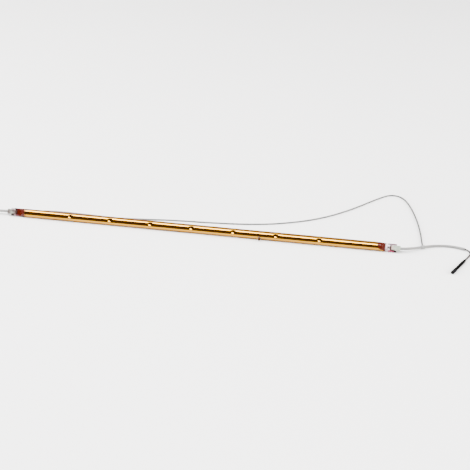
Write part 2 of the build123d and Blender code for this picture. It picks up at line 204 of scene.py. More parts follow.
class Finishes(bpy.types.PropertyGroup):
    """Colours of the materials"""
    gold: colour("Gold", "Bright part of the reflector coat", (0.43, 0.205, 0.006))
    deep_gold: colour("Deep gold", "Darker streaks of the reflector coat", (0.33, 0.15, 0.004))
    gold_edge: colour("Gold edge", "Tint of the coat seen at a low angle", (0.36, 0.20, 0.05))
    thin_gold: colour("Thin gold", "Coat where it thins out at its ends", (0.10, 0.022, 0.004))
    worn_gold: colour("Worn gold", "Fine specks where the coat is worn", (0.30, 0.10, 0.03))
    tip_nose_dark: colour("Tip char", "Dark end of the exhaust tip", (0.002, 0.001, 0.0008))
    tip_brown: colour("Tip brown", "Middle of the exhaust tip", (0.012, 0.0045, 0.001))
    tip_amber: colour("Tip amber", "Foot of the exhaust tip", (0.055, 0.020, 0.004))
    ruby: colour("Ruby", "Thin gold over the shoulders, seen through", (0.050, 0.0045, 0.0012))
    blush: colour("Blush", "Faint tint of the seals", (0.92, 0.74, 0.78))
    magenta: colour("Magenta", "Stain on the upper ribs of the seals", (0.07, 0.006, 0.028))
    pink: colour("Pink", "Stain on the lower ribs of the seals", (0.22, 0.035, 0.07))
    quartz: colour("Quartz", "Clear quartz", (0.97, 0.96, 0.96))
    ceramic: colour("Ceramic", "Unglazed end caps", (0.30, 0.34, 0.275))
    scorch_pink: colour("Pink scorch", "Caps near the hot glass", (0.40, 0.29, 0.27))
    left_cap_dark: colour("Soot", "Darkened patches of the left cap", (0.055, 0.038, 0.037))
    # Colour of the dark spots painted near the ends of the seals' ribs
    rib_spot: colour("Scorch", "Burnt spots on the seals' ribs", (0.010, 0.006, 0.005))
    pit: colour("Pit", "Fine pits in the caps", (0.20, 0.18, 0.15))
    # The same dark colour also paints shade round the caps' noses and along their lower edges
    cement: colour("Cement", "Cement in the caps, stained by the fired gold", (0.03, 0.010, 0.008))
    tungsten: colour("Tungsten", "Filament and supports", (0.30, 0.29, 0.29))
    molybdenum: colour("Molybdenum", "Foils and pins", (0.60, 0.56, 0.55))
    nickel: colour("Nickel", "Crimps and bare lead ends", (0.62, 0.59, 0.54))
    woven: colour("Woven glass", "Varnished glass sleeving", (0.20, 0.20, 0.196))
    yarn_soil: colour("Yarn soil", "Soiled patches of the sleeves", (0.17, 0.155, 0.13))
    collar_marks: colour("Collar marks", "Faint marks on the collar", (0.20, 0.19, 0.17))
    pale_rubber: colour("Lead", "Pale insulation of the lead", (0.10, 0.10, 0.098))
    lead_marks: colour("Lead marks", "Faint marks on the lead", (0.08, 0.075, 0.068))
    # Painted shade: darkens the lead's last run towards the collar, where it turns away from the
    # viewer into less light
    lead_end_shade: colour("Lead soil", "Soil on the lead near the collar", (0.015, 0.015, 0.015))
    red: colour("Red", "Red wire", (0.020, 0.0010, 0.0028))
    red_marks: colour("Red marks", "Faint marks on the red wire", (0.06, 0.008, 0.012))
    black: colour("Black", "Black wire", (0.004, 0.004, 0.0045))
    black_marks: colour("Black marks", "Faint marks on the black wire", (0.008, 0.008, 0.008))
    shrink: colour("Shrink", "Black shrunk tubing", (0.0015, 0.0015, 0.0017))
    shrink_marks: colour("Shrink marks", "Faint marks on the tubing", (0.006, 0.006, 0.006))
    plastic: colour("Plastic", "Black connector", (0.0018, 0.0018, 0.002))
    brass: colour("Brass", "Tinned contacts", (0.72, 0.62, 0.42))
    floor: colour("Floor", "Studio floor", (0.86, 0.86, 0.86))
    felt: colour("Felt", "Dark flag on the studio floor", (0.055, 0.036, 0.016))


class Studio(bpy.types.PropertyGroup):
    """Camera, lights, floor and the room round them"""
    azimuth: angle("Azimuth", "Turn of the camera round the tube", 11.472)
    elevation: angle("Elevation", "Height of the camera over the floor, as an angle", 28)
    distance: length("Distance", "From the camera to the point it faces", 968.4 * MM)
    aim_x: place("Aim X", "Point along the tube that the camera faces", 47.746 * MM)
    aim_z: place("Aim Z", "Height of the point that the camera faces", 1.872 * MM)
    focal: bpy.props.FloatProperty(
        name="Focal length", description="In millimetres, on a 36 mm sensor",
        default=62.28, min=10, max=300,
    )
    softbox: bpy.props.FloatProperty(
        name="Softbox", description="Power of the softbox overhead, in watts",
        default=240, min=0,
    )
    softbox_long: length("Softbox length", "Along the tube", 3.1)
    softbox_deep: length("Softbox depth", "Across the tube", 0.9)
    softbox_x: place("Softbox X", "Middle of the softbox along the tube", -0.56)
    softbox_y: place("Softbox Y", "Middle of the softbox across the tube", -0.48)
    softbox_turn: angle("Softbox turn", "Turn of the softbox about the upright", -34)
    softbox_height: length("Softbox height", "Height over the floor", 2.4)
    fill: bpy.props.FloatProperty(
        name="Side fill", description="Power of each side light, in watts", default=560, min=0,
    )
    fill_wide: length("Fill width", "Width of each side light", 3.6)
    fill_tall: length("Fill height", "Height of each side light", 2.2)
    fill_x: length("Fill X", "From the middle to each side light, along the tube", 3.4)
    fill_y: place("Fill Y", "Place of the side lights across the tube", -0.2)
    fill_z: length("Fill Z", "Height of the middle of the side lights", 1.4)
    flag_start: length("Flag start", "From the tube's axis to the dark flag on the floor", 17 * MM)
    flag_reach: length("Flag reach", "How far the dark flag reaches towards the viewer", 1.2)
    flag_half: length("Flag half length", "From the middle to the dark flag's end", 1.2)
    flag_height: length("Flag height", "Height of the dark flag over the floor", 0.5 * MM)
    floor_half: length("Floor half width", "From the middle to the floor's edge", 2.6)
    front: colour("Front", "Dim room on the viewer's side", (0.18, 0.12, 0.07))
    wall: colour("Wall", "Tint of the pale wall behind the tube", (1.0, 0.90, 0.86))
    backdrop: bpy.props.FloatProperty(
        name="Backdrop", description="Brightness of the plain backdrop beyond the floor",
        default=4.3, min=0,
    )
    surround: bpy.props.FloatProperty(
        name="Surround", description="Brightness of the pale wall behind the tube",
        default=1.1, min=0,
    )


# Nodes and materials


def feed(tree, socket, value):
    """Links another node's output to a socket, or sets the socket to a plain value"""
    if isinstance(value, bpy.types.NodeSocket):
        tree.links.new(value, socket)
    else:
        socket.default_value = value


def add_node(tree, kind, inputs=None, **settings):
    """Adds a node, sets it up, and feeds its inputs by name or number"""
    made = tree.nodes.new(kind)
    for key, value in settings.items():
        setattr(made, key, value)
    for key, value in (inputs or {}).items():
        feed(tree, made.inputs[key], value)
    return made


def maths(tree, operation, *values, **settings):
    """One Math node, and its result"""
    made = add_node(
        tree, "ShaderNodeMath", dict(enumerate(values)), operation=operation, **settings,
    )
    return made.outputs[0]


def rgba(tint):
    return (*tint, 1.0)


def darker(tint, part_left):
    return [part * part_left for part in tint]


def new_material(name):
    made = bpy.data.materials.new(name)
    made.use_nodes = True
    return made, made.node_tree, made.node_tree.nodes["Principled BSDF"]


def object_place(tree, stretch=(1, 1, 1)):
    """Object coordinates in metres, stretched along each axis"""
    where = add_node(tree, "ShaderNodeTexCoord").outputs["Object"]
    return add_node(
        tree, "ShaderNodeMapping", {"Vector": where, "Scale": stretch},
    ).outputs["Vector"]


def split(tree, vector):
    """The parts of a vector, by name"""
    return add_node(tree, "ShaderNodeSeparateXYZ", {"Vector": vector}).outputs


def cord_flow(tree):
    """A cord's own UV map: X runs along it and Y round it"""
    return split(tree, add_node(tree, "ShaderNodeTexCoord").outputs["UV"])


def up_the_seal(tree, parts, shape):
    """Height up a seal from its middle, square to the tube"""
    way = outward(shape.seal_lean + pi / 2)
    height = maths(tree, "MULTIPLY", parts["Y"], way.y)
    height = maths(tree, "MULTIPLY_ADD", parts["Z"], way.z, height)
    return maths(tree, "SUBTRACT", height, AXIS_HEIGHT * way.z)


def noise(tree, vector, scale, detail=4.0, roughness=0.5):
    return add_node(
        tree, "ShaderNodeTexNoise",
        {"Vector": vector, "Scale": scale, "Detail": detail, "Roughness": roughness},
    ).outputs["Fac"]


def ramp(tree, factor, stops):
    """A colour ramp with stops of (place, colour)"""
    made = add_node(tree, "ShaderNodeValToRGB", {"Fac": factor})
    elements = made.color_ramp.elements
    while len(elements) < len(stops):
        elements.new(0.5)
    for element, (where, tint) in zip(elements, stops):
        element.position = where
        element.color = rgba(tint)
    return made.outputs["Color"]


def spread(tree, value, low, high, to_low, to_high):
    """Value mapped from one range to another, and kept inside it"""
    return add_node(
        tree, "ShaderNodeMapRange",
        {"Value": value, "From Min": low, "From Max": high, "To Min": to_low, "To Max": to_high},
    ).outputs["Result"]


def blend_colours(tree, factor, first, second):
    """From the first colour to the second; a Mix node keeps its colours in sockets 6 and 7"""
    made = add_node(tree, "ShaderNodeMix", {"Factor": factor}, data_type="RGBA")
    for socket, tint in ((made.inputs[6], first), (made.inputs[7], second)):
        feed(tree, socket, tint if isinstance(tint, bpy.types.NodeSocket) else rgba(tint))
    return made.outputs[2]


def bump(tree, shader, height, strength, distance):
    made = add_node(
        tree, "ShaderNodeBump", {"Height": height, "Strength": strength, "Distance": distance},
    )
    feed(tree, shader.inputs["Normal"], made.outputs["Normal"])


def set_inputs(tree, shader, **values):
    """Feeds the shader's inputs by name, with _ for a space"""
    for key, value in values.items():
        feed(tree, shader.inputs[key.replace("_", " ")], value)


def gold_material(finish):
    """Fired gold: glossy, with faint streaks along the tube and a few fine specks"""
    made, tree, shader = new_material("fired_gold")
    where = object_place(tree)
    streaks = noise(tree, object_place(tree, (0.06, 1, 1)), 900.0, 5.0, 0.6)
    clouds = noise(tree, object_place(tree, (0.4, 1, 1)), 120.0, 3.0, 0.5)
    tone = maths(tree, "MULTIPLY_ADD", clouds, 0.5, maths(tree, "MULTIPLY", streaks, 0.5))
    tint = ramp(tree, tone, [(0.30, finish.deep_gold), (0.52, finish.gold)])
    speck_core, speck_edge, worn_share = 0.05, 0.10, 0.75
    specks = add_node(tree, "ShaderNodeTexVoronoi", {"Vector": where, "Scale": 420.0})
    worn = spread(tree, specks.outputs["Distance"], speck_core, speck_edge, worn_share, 0.0)
    tint = blend_colours(tree, worn, tint, finish.worn_gold)

    # The coat thins out towards both ends, half as strongly on the right
    thin_from, thin_to, uneven = COAT_HALF - 2.5 * MM, COAT_HALF + 1.5 * MM, 2 * MM
    place_along = split(tree, where)["X"]
    along = maths(tree, "MULTIPLY_ADD", clouds, uneven, maths(tree, "ABSOLUTE", place_along))
    thin = spread(tree, along, thin_from, thin_to, 0.0, 0.85)
    on_left = maths(tree, "LESS_THAN", place_along, 0.0)
    thin = maths(tree, "MULTIPLY", thin, maths(tree, "MULTIPLY_ADD", on_left, 0.5, 0.5))
    polish, dulled = spread(tree, streaks, 0.3, 0.7, 0.05, 0.10), 0.3
    set_inputs(
        tree, shader, Base_Color=blend_colours(tree, thin, tint, finish.thin_gold),
        Metallic=1.0, Roughness=maths(tree, "MULTIPLY_ADD", thin, dulled, polish),
        Specular_Tint=rgba(finish.gold_edge), Coat_Weight=0.35, Coat_Roughness=0.04,
    )
    bump(tree, shader, streaks, 0.05, 0.02 * MM)
    return made


def dark_rib_spots(tree, parts, across, speckle):
    """Dark spots painted on the seals' ribs, with ragged edges"""
    ragged, edge = 0.5 * MM, 0.35 * MM
    spotted = 0.0
    for spot_x, spot_across, size in RIB_END_SPOTS:
        beside = maths(tree, "SUBTRACT", parts["X"], spot_x * MM)
        above = maths(tree, "SUBTRACT", across, spot_across * MM)
        reach = maths(tree, "MULTIPLY", beside, beside)
        reach = maths(tree, "SQRT", maths(tree, "MULTIPLY_ADD", above, above, reach))
        reach = maths(tree, "MULTIPLY_ADD", speckle, ragged, reach)
        spot = spread(tree, reach, size * MM, size * MM + edge, 1.0, 0.0)
        spotted = maths(tree, "MAXIMUM", spotted, spot)
    return spotted


def quartz_material(finish, shape):
    """Clear quartz, with a ruby film of thin gold on the shoulders that fades over the seals"""
    made, tree, shader = new_material("fused_quartz")
    where = object_place(tree)
    parts = split(tree, where)
    uneven, film_start = 1.6 * MM, shape.body_half - shape.ruby_overlap
    along = maths(tree, "ABSOLUTE", parts["X"])
    ragged = maths(tree, "MULTIPLY_ADD", noise(tree, where, 260.0), uneven, along)
    on_right = maths(tree, "GREATER_THAN", parts["X"], 0.0)
    longer = shape.ruby_right - shape.ruby_left
    run = maths(tree, "MULTIPLY_ADD", on_right, longer, shape.ruby_left)
    shares = maths(tree, "DIVIDE", maths(tree, "SUBTRACT", ragged, film_start), run)
    tint = ramp(tree, shares, [
        (0.0, finish.quartz), (0.06, finish.ruby), (0.44, finish.ruby),
        (0.52, finish.blush), (0.72, finish.quartz), (1.0, finish.blush),
    ])
    bare, filmed = (0, 0, 0), (1, 1, 1)
    film = ramp(tree, shares, [(0.0, bare), (0.05, filmed), (0.42, filmed), (0.52, bare)])

    # Stain on the seals' ribs, fainter on the left
    stain_fade, left_share = 2 * MM, 0.35
    across = up_the_seal(tree, parts, shape)
    web_half = shape.seal_width / 2 - shape.rib_width
    rib_from, rib_to = web_half - 0.3 * MM, web_half + 0.1 * MM
    on_rib = spread(tree, maths(tree, "ABSOLUTE", across), rib_from, rib_to, 0.0, 1.0)
    stained = spread(tree, ragged, shape.rib_stain, shape.rib_stain + stain_fade, 0.0, 1.0)
    strength = maths(tree, "MULTIPLY_ADD", on_right, 1 - left_share, left_share)
    rib_film = maths(tree, "MULTIPLY", maths(tree, "MULTIPLY", on_rib, stained), strength)
    upper = maths(tree, "GREATER_THAN", across, 0.0)
    stain = blend_colours(tree, upper, finish.pink, finish.magenta)
    tint = blend_colours(tree, rib_film, tint, stain)

    # Gold that ran on past the coat, along the foot of the right shoulder
    fall, edge = 0.55, 0.2 * MM
    low = maths(tree, "SUBTRACT", parts["Z"], shape.gold_run)
    past = maths(tree, "SUBTRACT", ragged, shape.body_half)
    low = maths(tree, "MULTIPLY_ADD", past, fall, low)
    gilt = maths(tree, "MULTIPLY", spread(tree, low, -edge, edge, 1.0, 0.0), on_right)
    begun = spread(tree, ragged, film_start, film_start + edge, 0.0, 1.0)
    gilt = maths(tree, "MULTIPLY", gilt, begun)
    tint = blend_colours(tree, gilt, tint, finish.gold)

    spotted = dark_rib_spots(tree, parts, across, noise(tree, where, 900.0))
    film = maths(tree, "MAXIMUM", maths(tree, "MAXIMUM", film, rib_film), spotted)
    set_inputs(
        tree, shader, Base_Color=blend_colours(tree, spotted, tint, finish.rib_spot),
        Roughness=spread(tree, film, 0.0, 1.0, 0.03, 0.22), IOR=QUARTZ_IOR, Metallic=gilt,
        Transmission_Weight=spread(tree, film, 0.0, 1.0, 1.0, 0.14), Specular_IOR_Level=0.12,
    )
    ripple = noise(tree, object_place(tree, (1, 0.4, 0.4)), 500.0, 3.0)
    pressed = spread(tree, along, shape.body_half, SEAL_END, 0.0, 1.0)
    bump(tree, shader, maths(tree, "MULTIPLY", ripple, pressed), 0.25, 0.12 * MM)
    return made


def tip_material(finish):
    """The exhaust tip: amber at its foot, and darker towards its nose, its lowest part"""
    made, tree, shader = new_material("flamed_tip")
    where = object_place(tree)
    nose_height, foot_height = 1.8 * MM, 3.6 * MM
    foot_share = spread(tree, split(tree, where)["Z"], nose_height, foot_height, 0.0, 1.0)
    set_inputs(
        tree, shader, Base_Color=ramp(tree, foot_share, [
            (0.0, finish.tip_nose_dark), (0.45, finish.tip_brown), (0.95, finish.tip_amber),
        ]),
        Roughness=0.22, IOR=QUARTZ_IOR, Specular_IOR_Level=0.15,
    )
    bump(tree, shader, noise(tree, where, 900.0), 0.2, 0.05 * MM)
    return made


def metal_material(name, tint, roughness, stretch):
    """Drawn or rolled metal, with grain stretched along one way and small dull patches"""
    made, tree, shader = new_material(name)
    grain = noise(tree, object_place(tree, stretch), 2600.0, 4.0, 0.6)
    patches = noise(tree, object_place(tree), 380.0, 3.0)
    shade = ramp(tree, patches, [(0.35, darker(tint, 0.6)), (0.62, tint)])
    set_inputs(
        tree, shader, Base_Color=shade, Metallic=1.0,
        Roughness=spread(tree, grain, 0.3, 0.7, roughness * 0.8, roughness * 1.3),
    )
    bump(tree, shader, grain, 0.2, 0.02 * MM)
    return made


def ceramic_material(finish, shape):
    """Pressed and fired body: fine grain, fine pits, scorched where it grips the glass, and
    painted shade round the nose and along the lower edge
    """
    made, tree, shader = new_material("steatite")
    where = object_place(tree)
    parts = split(tree, where)
    grain = noise(tree, where, 2800.0, 6.0, 0.65)
    clouds = noise(tree, where, 240.0, 3.0)
    pit_core, pit_edge, pit_share = 0.06, 0.14, 0.45
    pits = add_node(tree, "ShaderNodeTexVoronoi", {"Vector": where, "Scale": 900.0})
    pit = spread(tree, pits.outputs["Distance"], pit_core, pit_edge, 1.0, 0.0)
    green_grey = darker(finish.ceramic, 0.72)
    tint = ramp(tree, clouds, [(0.32, green_grey), (0.6, finish.ceramic)])

    # Pink towards the glass, and darker in patches over the left cap
    uneven, pink_from, pink_to = 0.8 * MM, CAP_START + 2 * MM, CAP_START + 5 * MM
    along = maths(tree, "ABSOLUTE", parts["X"])
    along = maths(tree, "MULTIPLY_ADD", noise(tree, where, 500.0), uneven, along)
    near_glass = spread(tree, along, pink_from, pink_to, 0.85, 0.0)
    tint = blend_colours(tree, near_glass, tint, finish.scorch_pink)
    on_left = maths(tree, "LESS_THAN", parts["X"], 0.0)
    darker_patches = spread(tree, clouds, 0.42, 0.62, 0.97, 0.45)
    tint = blend_colours(tree, maths(tree, "MULTIPLY", darker_patches, on_left), tint, finish.left_cap_dark)

    # Painted shade in the cement's colour: a dark ring round the nose, where the cap meets the
    # glass, and a dark lower edge behind it
    ring_from, ring_to, painted_shade_share = CAP_START + 1.5 * MM, CAP_START + 2.0 * MM, 0.95
    edge_from, edge_to, edge_end, edge_gone = -2.4 * MM, -1.9 * MM, 235.5 * MM, 236.8 * MM
    nose = spread(tree, along, ring_from, ring_to, painted_shade_share, 0.0)
    low = spread(tree, up_the_seal(tree, parts, shape), edge_from, edge_to, painted_shade_share, 0.0)
    low = maths(tree, "MULTIPLY", low, spread(tree, along, edge_end, edge_gone, 1.0, 0.0))
    tint = blend_colours(tree, maths(tree, "MAXIMUM", nose, low), tint, finish.cement)
    tint = blend_colours(tree, maths(tree, "MULTIPLY", pit, pit_share), tint, finish.pit)
    set_inputs(tree, shader, Base_Color=tint, Roughness=spread(tree, grain, 0.3, 0.7, 0.5, 0.72))
    bump(tree, shader, maths(tree, "SUBTRACT", grain, pit), 0.35, 0.05 * MM)
    return made


def cement_material(finish):
    """Dried cement: coarse, chalky and uneven"""
    made, tree, shader = new_material("dry_cement")
    where = object_place(tree)
    lumps = noise(tree, where, 1400.0, 6.0, 0.7)
    tint = ramp(tree, lumps, [(0.35, darker(finish.cement, 0.62)), (0.6, finish.cement)])
    set_inputs(tree, shader, Base_Color=tint, Roughness=0.9)
    bump(tree, shader, lumps, 0.8, 0.12 * MM)
    return made


def woven_material(finish, diameter, run):
    """Braided glass yarn under a thin varnish: crossing yarns that follow the sleeve"""
    made, tree, shader = new_material(f"woven_glass_{round(run / MM)}")
    where, flow, yarns = object_place(tree), cord_flow(tree), 12.0
    square = run / (pi * diameter)
    around = maths(tree, "MULTIPLY", flow["Y"], yarns)
    turns = maths(tree, "MULTIPLY", flow["X"], yarns * square)
    one_way, other_way = (
        maths(tree, "SINE", maths(tree, "MULTIPLY", maths(tree, kind, around, turns), tau))
        for kind in ("ADD", "SUBTRACT")
    )
    over = maths(tree, "MULTIPLY", one_way, other_way)
    fuzz = noise(tree, where, 3200.0, 4.0, 0.7)
    height = maths(tree, "MULTIPLY_ADD", over, 0.5, maths(tree, "MULTIPLY", fuzz, 0.3))
    dark = darker(finish.woven, 0.62)
    yarn = ramp(tree, spread(tree, height, -0.4, 0.7, 0, 1), [(0.1, dark), (0.75, finish.woven)])
    darkening = spread(tree, noise(tree, where, 90.0, 3.0), 0.45, 0.75, 0.0, 0.35)
    set_inputs(
        tree, shader, Base_Color=blend_colours(tree, darkening, yarn, finish.yarn_soil),
        Roughness=0.62, Coat_Weight=0.15, Coat_Roughness=0.45,
    )
    bump(tree, shader, height, 0.5, 0.12 * MM)
    return made


def rubber_material(name, tint, marks, roughness=0.5, gloss=0.35, darkening=None):
    """Soft insulation: a little uneven, with faint marks, and painted shade on the last part of a
    cord
    """
    made, tree, shader = new_material(name)
    where = object_place(tree)
    clouds = noise(tree, where, 160.0, 4.0)
    dust = noise(tree, where, 1800.0, 5.0, 0.65)
    base = ramp(tree, clouds, [(0.34, darker(tint, 0.7)), (0.58, tint)])
    shade = blend_colours(tree, spread(tree, dust, 0.6, 0.8, 0.0, 0.5), base, marks)
    if darkening is not None:
        # Painted shade: darker over the last part of the cord, where it runs away from the viewer
        # into less light
        shade_from, shade_full, shade_share = 0.70, 0.82, 0.55
        shaded_end = spread(tree, cord_flow(tree)["X"], shade_from, shade_full, 0.0, shade_share)
        shade = blend_colours(tree, shaded_end, shade, darkening)
    set_inputs(
        tree, shader, Base_Color=shade,
        Roughness=spread(tree, dust, 0.3, 0.7, roughness * 0.85, min(1, roughness * 1.2)),
        Specular_IOR_Level=gloss,
    )
    bump(tree, shader, maths(tree, "ADD", clouds, dust), 0.15, 0.06 * MM)
    return made


def moulded_material(name, tint):
    """Black moulded plastic: fine spark texture, paler on its handled edges"""
    made, tree, shader = new_material(name)
    where = object_place(tree)
    spark = noise(tree, where, 4200.0, 3.0, 0.6)
    edge = add_node(tree, "ShaderNodeNewGeometry").outputs["Pointiness"]
    edge_from, edge_to, edge_share = 0.52, 0.60, 0.6
    handled = spread(tree, edge, edge_from, edge_to, 0.0, edge_share)
    shade = blend_colours(tree, handled, tint, [part * 3 + 0.004 for part in tint])
    set_inputs(
        tree, shader, Base_Color=shade, Roughness=spread(tree, spark, 0.3, 0.7, 0.5, 0.7),
        Specular_IOR_Level=0.05,
    )
    bump(tree, shader, spark, 0.3, 0.02 * MM)
    return made


def floor_material(finish):
    made, tree, shader = new_material("studio_floor")
    clouds = noise(tree, object_place(tree), 3.0, 2.0)
    tint = ramp(tree, clouds, [(0.3, darker(finish.floor, 0.98)), (0.7, finish.floor)])
    set_inputs(tree, shader, Base_Color=tint, Roughness=0.9)
    return made


def flag_material(finish):
    """Dark felt, which gloss mirrors as the dark band along the coat"""
    made, tree, shader = new_material("dark_felt")
    nap = noise(tree, object_place(tree), 60.0, 3.0)
    tint = ramp(tree, nap, [(0.3, darker(finish.felt, 0.73)), (0.7, finish.felt)])
    set_inputs(tree, shader, Base_Color=tint, Roughness=1.0, Specular_IOR_Level=0.0)
    return made


# Meshes


def link_object(name, data):
    """A new object in the scene, at the origin"""
    made = bpy.data.objects.new(name, data)
    bpy.context.scene.collection.objects.link(made)
    return made


def evaluated_mesh(piece):
    """The plain mesh that an object's modifiers or curve settings make"""
    graph = bpy.context.evaluated_depsgraph_get()
    return bpy.data.meshes.new_from_object(piece.evaluated_get(graph))


def finish_mesh(mesh, name, material):
    """Turns a bmesh into an object with one material"""
    made = bpy.data.meshes.new(name)
    mesh.to_mesh(made)
    mesh.free()
    made.materials.append(material)
    return link_object(name, made)


def settle(piece, slot, *nodes):
    """Finishes a piece: it rides on the tube, and stands for the nodes named"""
    if piece.type == "MESH":
        piece.data.polygons.foreach_set("use_smooth", [True] * len(piece.data.polygons))
    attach(piece, BODY)
    if nodes:
        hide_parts(*nodes)
    return piece


def dress_node(name, material):
    """A CAD node keeps its mesh and gets a better material"""
    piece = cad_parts[name]
    if not piece.material_slots:
        piece.data.materials.append(material)
    for slot in piece.material_slots:
        slot.material = material


def geometry_tree(name, wanted):
    """An empty tree with a geometry in and out, named inputs with defaults, and a material"""
    tree = bpy.data.node_groups.new(name, "GeometryNodeTree")
    for way in ("INPUT", "OUTPUT"):
        tree.interface.new_socket("Geometry", in_out=way, socket_type="NodeSocketGeometry")
    for label, default in wanted.items():
        kind = "NodeSocketInt" if isinstance(default, int) else "NodeSocketFloat"
        socket = tree.interface.new_socket(label, in_out="INPUT", socket_type=kind)
        socket.default_value = default
    tree.interface.new_socket("Material", in_out="INPUT", socket_type="NodeSocketMaterial")
    return tree, tree.nodes.new("NodeGroupInput"), tree.nodes.new("NodeGroupOutput")


def point_place(tree):
    """Where each point of the base mesh lies, split into X, Y and Z"""
    return split(tree, add_node(tree, "GeometryNodeInputPosition").outputs[0])


def wire_along(tree, curve, radius, corners_round):
    """A wire swept along a curve, closed at both ends"""
    section = add_node(tree, "GeometryNodeCurvePrimitiveCircle", {
        "Resolution": corners_round, "Radius": radius,
    })
    swept = add_node(tree, "GeometryNodeCurveToMesh", {
        "Curve": curve, "Profile Curve": section.outputs["Curve"], "Fill Caps": True,
    })
    return swept.outputs["Mesh"]


def end_tree(tree, start, end, geometry):
    """Closes a tree with Realize Instances and Set Material"""
    real = add_node(tree, "GeometryNodeRealizeInstances", {"Geometry": geometry})
    painted = add_node(tree, "GeometryNodeSetMaterial", {
        "Geometry": real.outputs["Geometry"], "Material": start.outputs["Material"],
    })
    feed(tree, end.inputs["Geometry"], painted.outputs["Geometry"])


def run_tree(tree, base, values):
    """Runs a tree on a base mesh and returns the plain mesh that it makes"""
    carrier = link_object("carrier", base)
    modifier = carrier.modifiers.new("Maker", "NODES")
    modifier.node_group = tree
    for item in tree.interface.items_tree:
        if item.in_out == "INPUT" and item.name in values:
            modifier[item.identifier] = values[item.name]
    made = evaluated_mesh(carrier)
    bpy.data.objects.remove(carrier)
    bpy.data.meshes.remove(base)
    return made


def dented_roll_tree():
    """Rolls a flat sheet, with X along the tube and Y as an angle, into a dented tube"""
    tree, start, end = geometry_tree("Dented roll", {
        "Radius": 0.005, "Axis height": 0.005, "Dent reach": 0.010, "Dent ball": 0.006,
        "Dents": 3.0, "Dent angle": 0.6, "Station middle": 0.0, "Station pitch": 0.05,
        "Station span": 3.0, "Soften": 0.0002,
    })
    value = start.outputs
    where = point_place(tree)

    # From the nearest station along the tube, and from its nearest dent round the tube
    offset = maths(tree, "SUBTRACT", where["X"], value["Station middle"])
    station = maths(tree, "ROUND", maths(tree, "DIVIDE", offset, value["Station pitch"]))
    station = maths(tree, "MINIMUM", station, value["Station span"])
    lowest = maths(tree, "MULTIPLY", value["Station span"], -1.0)
    station = maths(tree, "MAXIMUM", station, lowest)
    from_dent = maths(
        tree, "SUBTRACT", offset, maths(tree, "MULTIPLY", station, value["Station pitch"]),
    )
    half_turn = maths(tree, "DIVIDE", pi, value["Dents"])
    turn = maths(
        tree, "WRAP", maths(tree, "SUBTRACT", where["Y"], value["Dent angle"]),
        half_turn, maths(tree, "MULTIPLY", half_turn, -1.0),
    )

    # A dent is the near side of a ball; the tube takes the lower of its own wall and the ball
    across = maths(tree, "MULTIPLY", value["Dent reach"], maths(tree, "SINE", turn))
    room = maths(tree, "MULTIPLY", value["Dent ball"], value["Dent ball"])
    room = maths(tree, "SUBTRACT", room, maths(tree, "MULTIPLY", across, across))
    room = maths(tree, "SUBTRACT", room, maths(tree, "MULTIPLY", from_dent, from_dent))
    dent = maths(tree, "MULTIPLY", value["Dent reach"], maths(tree, "COSINE", turn))
    dent = maths(tree, "SUBTRACT", dent, maths(tree, "SQRT", maths(tree, "MAXIMUM", room, 0.0)))
    dent = maths(tree, "ADD", dent, maths(tree, "LESS_THAN", room, 0.0))
    radius = maths(tree, "SMOOTH_MIN", value["Radius"], dent, value["Soften"])

    level = maths(tree, "MULTIPLY", radius, maths(tree, "COSINE", where["Y"]))
    height = maths(tree, "MULTIPLY", radius, maths(tree, "SINE", where["Y"]))
    rolled = add_node(tree, "ShaderNodeCombineXYZ", {
        "X": where["X"], "Y": maths(tree, "MULTIPLY", level, -1.0),
        "Z": maths(tree, "ADD", height, value["Axis height"]),
    })
    moved = add_node(tree, "GeometryNodeSetPosition", {
        "Geometry": value["Geometry"], "Position": rolled.outputs[0],
    })
    end_tree(tree, start, end, moved.outputs["Geometry"])
    return tree


def station_pitch(filament):
    """From one support to the next"""
    return (LAST_STATION - FIRST_STATION) / (filament.stations - 1)


def station_lines(shape, filament, half):
    """Places along the tube where mesh rings stand: close together over the dents"""
    reach, fine_steps, plain_steps = 4.2 * MM, 28, 7
    end_run, end_steps = 6 * MM, 12
    pitch = station_pitch(filament)
    lines = {-half, half}
    for station in range(filament.stations):
        middle = FIRST_STATION + pitch * station
        lines.update(
            middle - reach + 2 * reach * step / fine_steps for step in range(fine_steps + 1)
        )
        lines.update(
            middle + reach + (pitch - 2 * reach) * step / plain_steps
            for step in range(1, plain_steps)
        )
    for side in (-1, 1):
        lines.update(
            side * (half - end_run * step / end_steps) for step in range(end_steps + 1)
        )
    return sorted(x for x in lines if -half <= x <= half)


def flat_sheet(lines, angles):
    """A grid with X along the tube and the angle as Y"""
    points = [(x, turn, 0.0) for x in lines for turn in angles]
    wide = len(angles)
    faces = [
        (row * wide + i, row * wide + i + 1, (row + 1) * wide + i + 1, (row + 1) * wide + i)
        for row in range(len(lines) - 1) for i in range(wide - 1)
    ]
    made = bpy.data.meshes.new("sheet")
    made.from_pydata(points, [], faces)
    return made


def roll_values(shape, filament, radius, ball, material):
    """Inputs of the dented roll for one wall of the tube"""
    return {
        "Radius": radius, "Axis height": AXIS_HEIGHT,
        "Dent reach": shape.body_radius - shape.dent_depth + shape.dent_ball,
        "Dent ball": ball, "Dents": float(shape.dents), "Dent angle": shape.dent_angle,
        "Station middle": (FIRST_STATION + LAST_STATION) / 2,
        "Station pitch": station_pitch(filament),
        "Station span": (filament.stations - 1) / 2, "Soften": shape.dent_soften,
        "Material": material,
    }


def outward(turn):
    """From the axis, that angle above level on the viewer's side"""
    return Vector((0, -cos(turn), sin(turn)))


def smooth_step(value):
    value = max(0.0, min(1.0, value))
    return value * value * (3 - 2 * value)


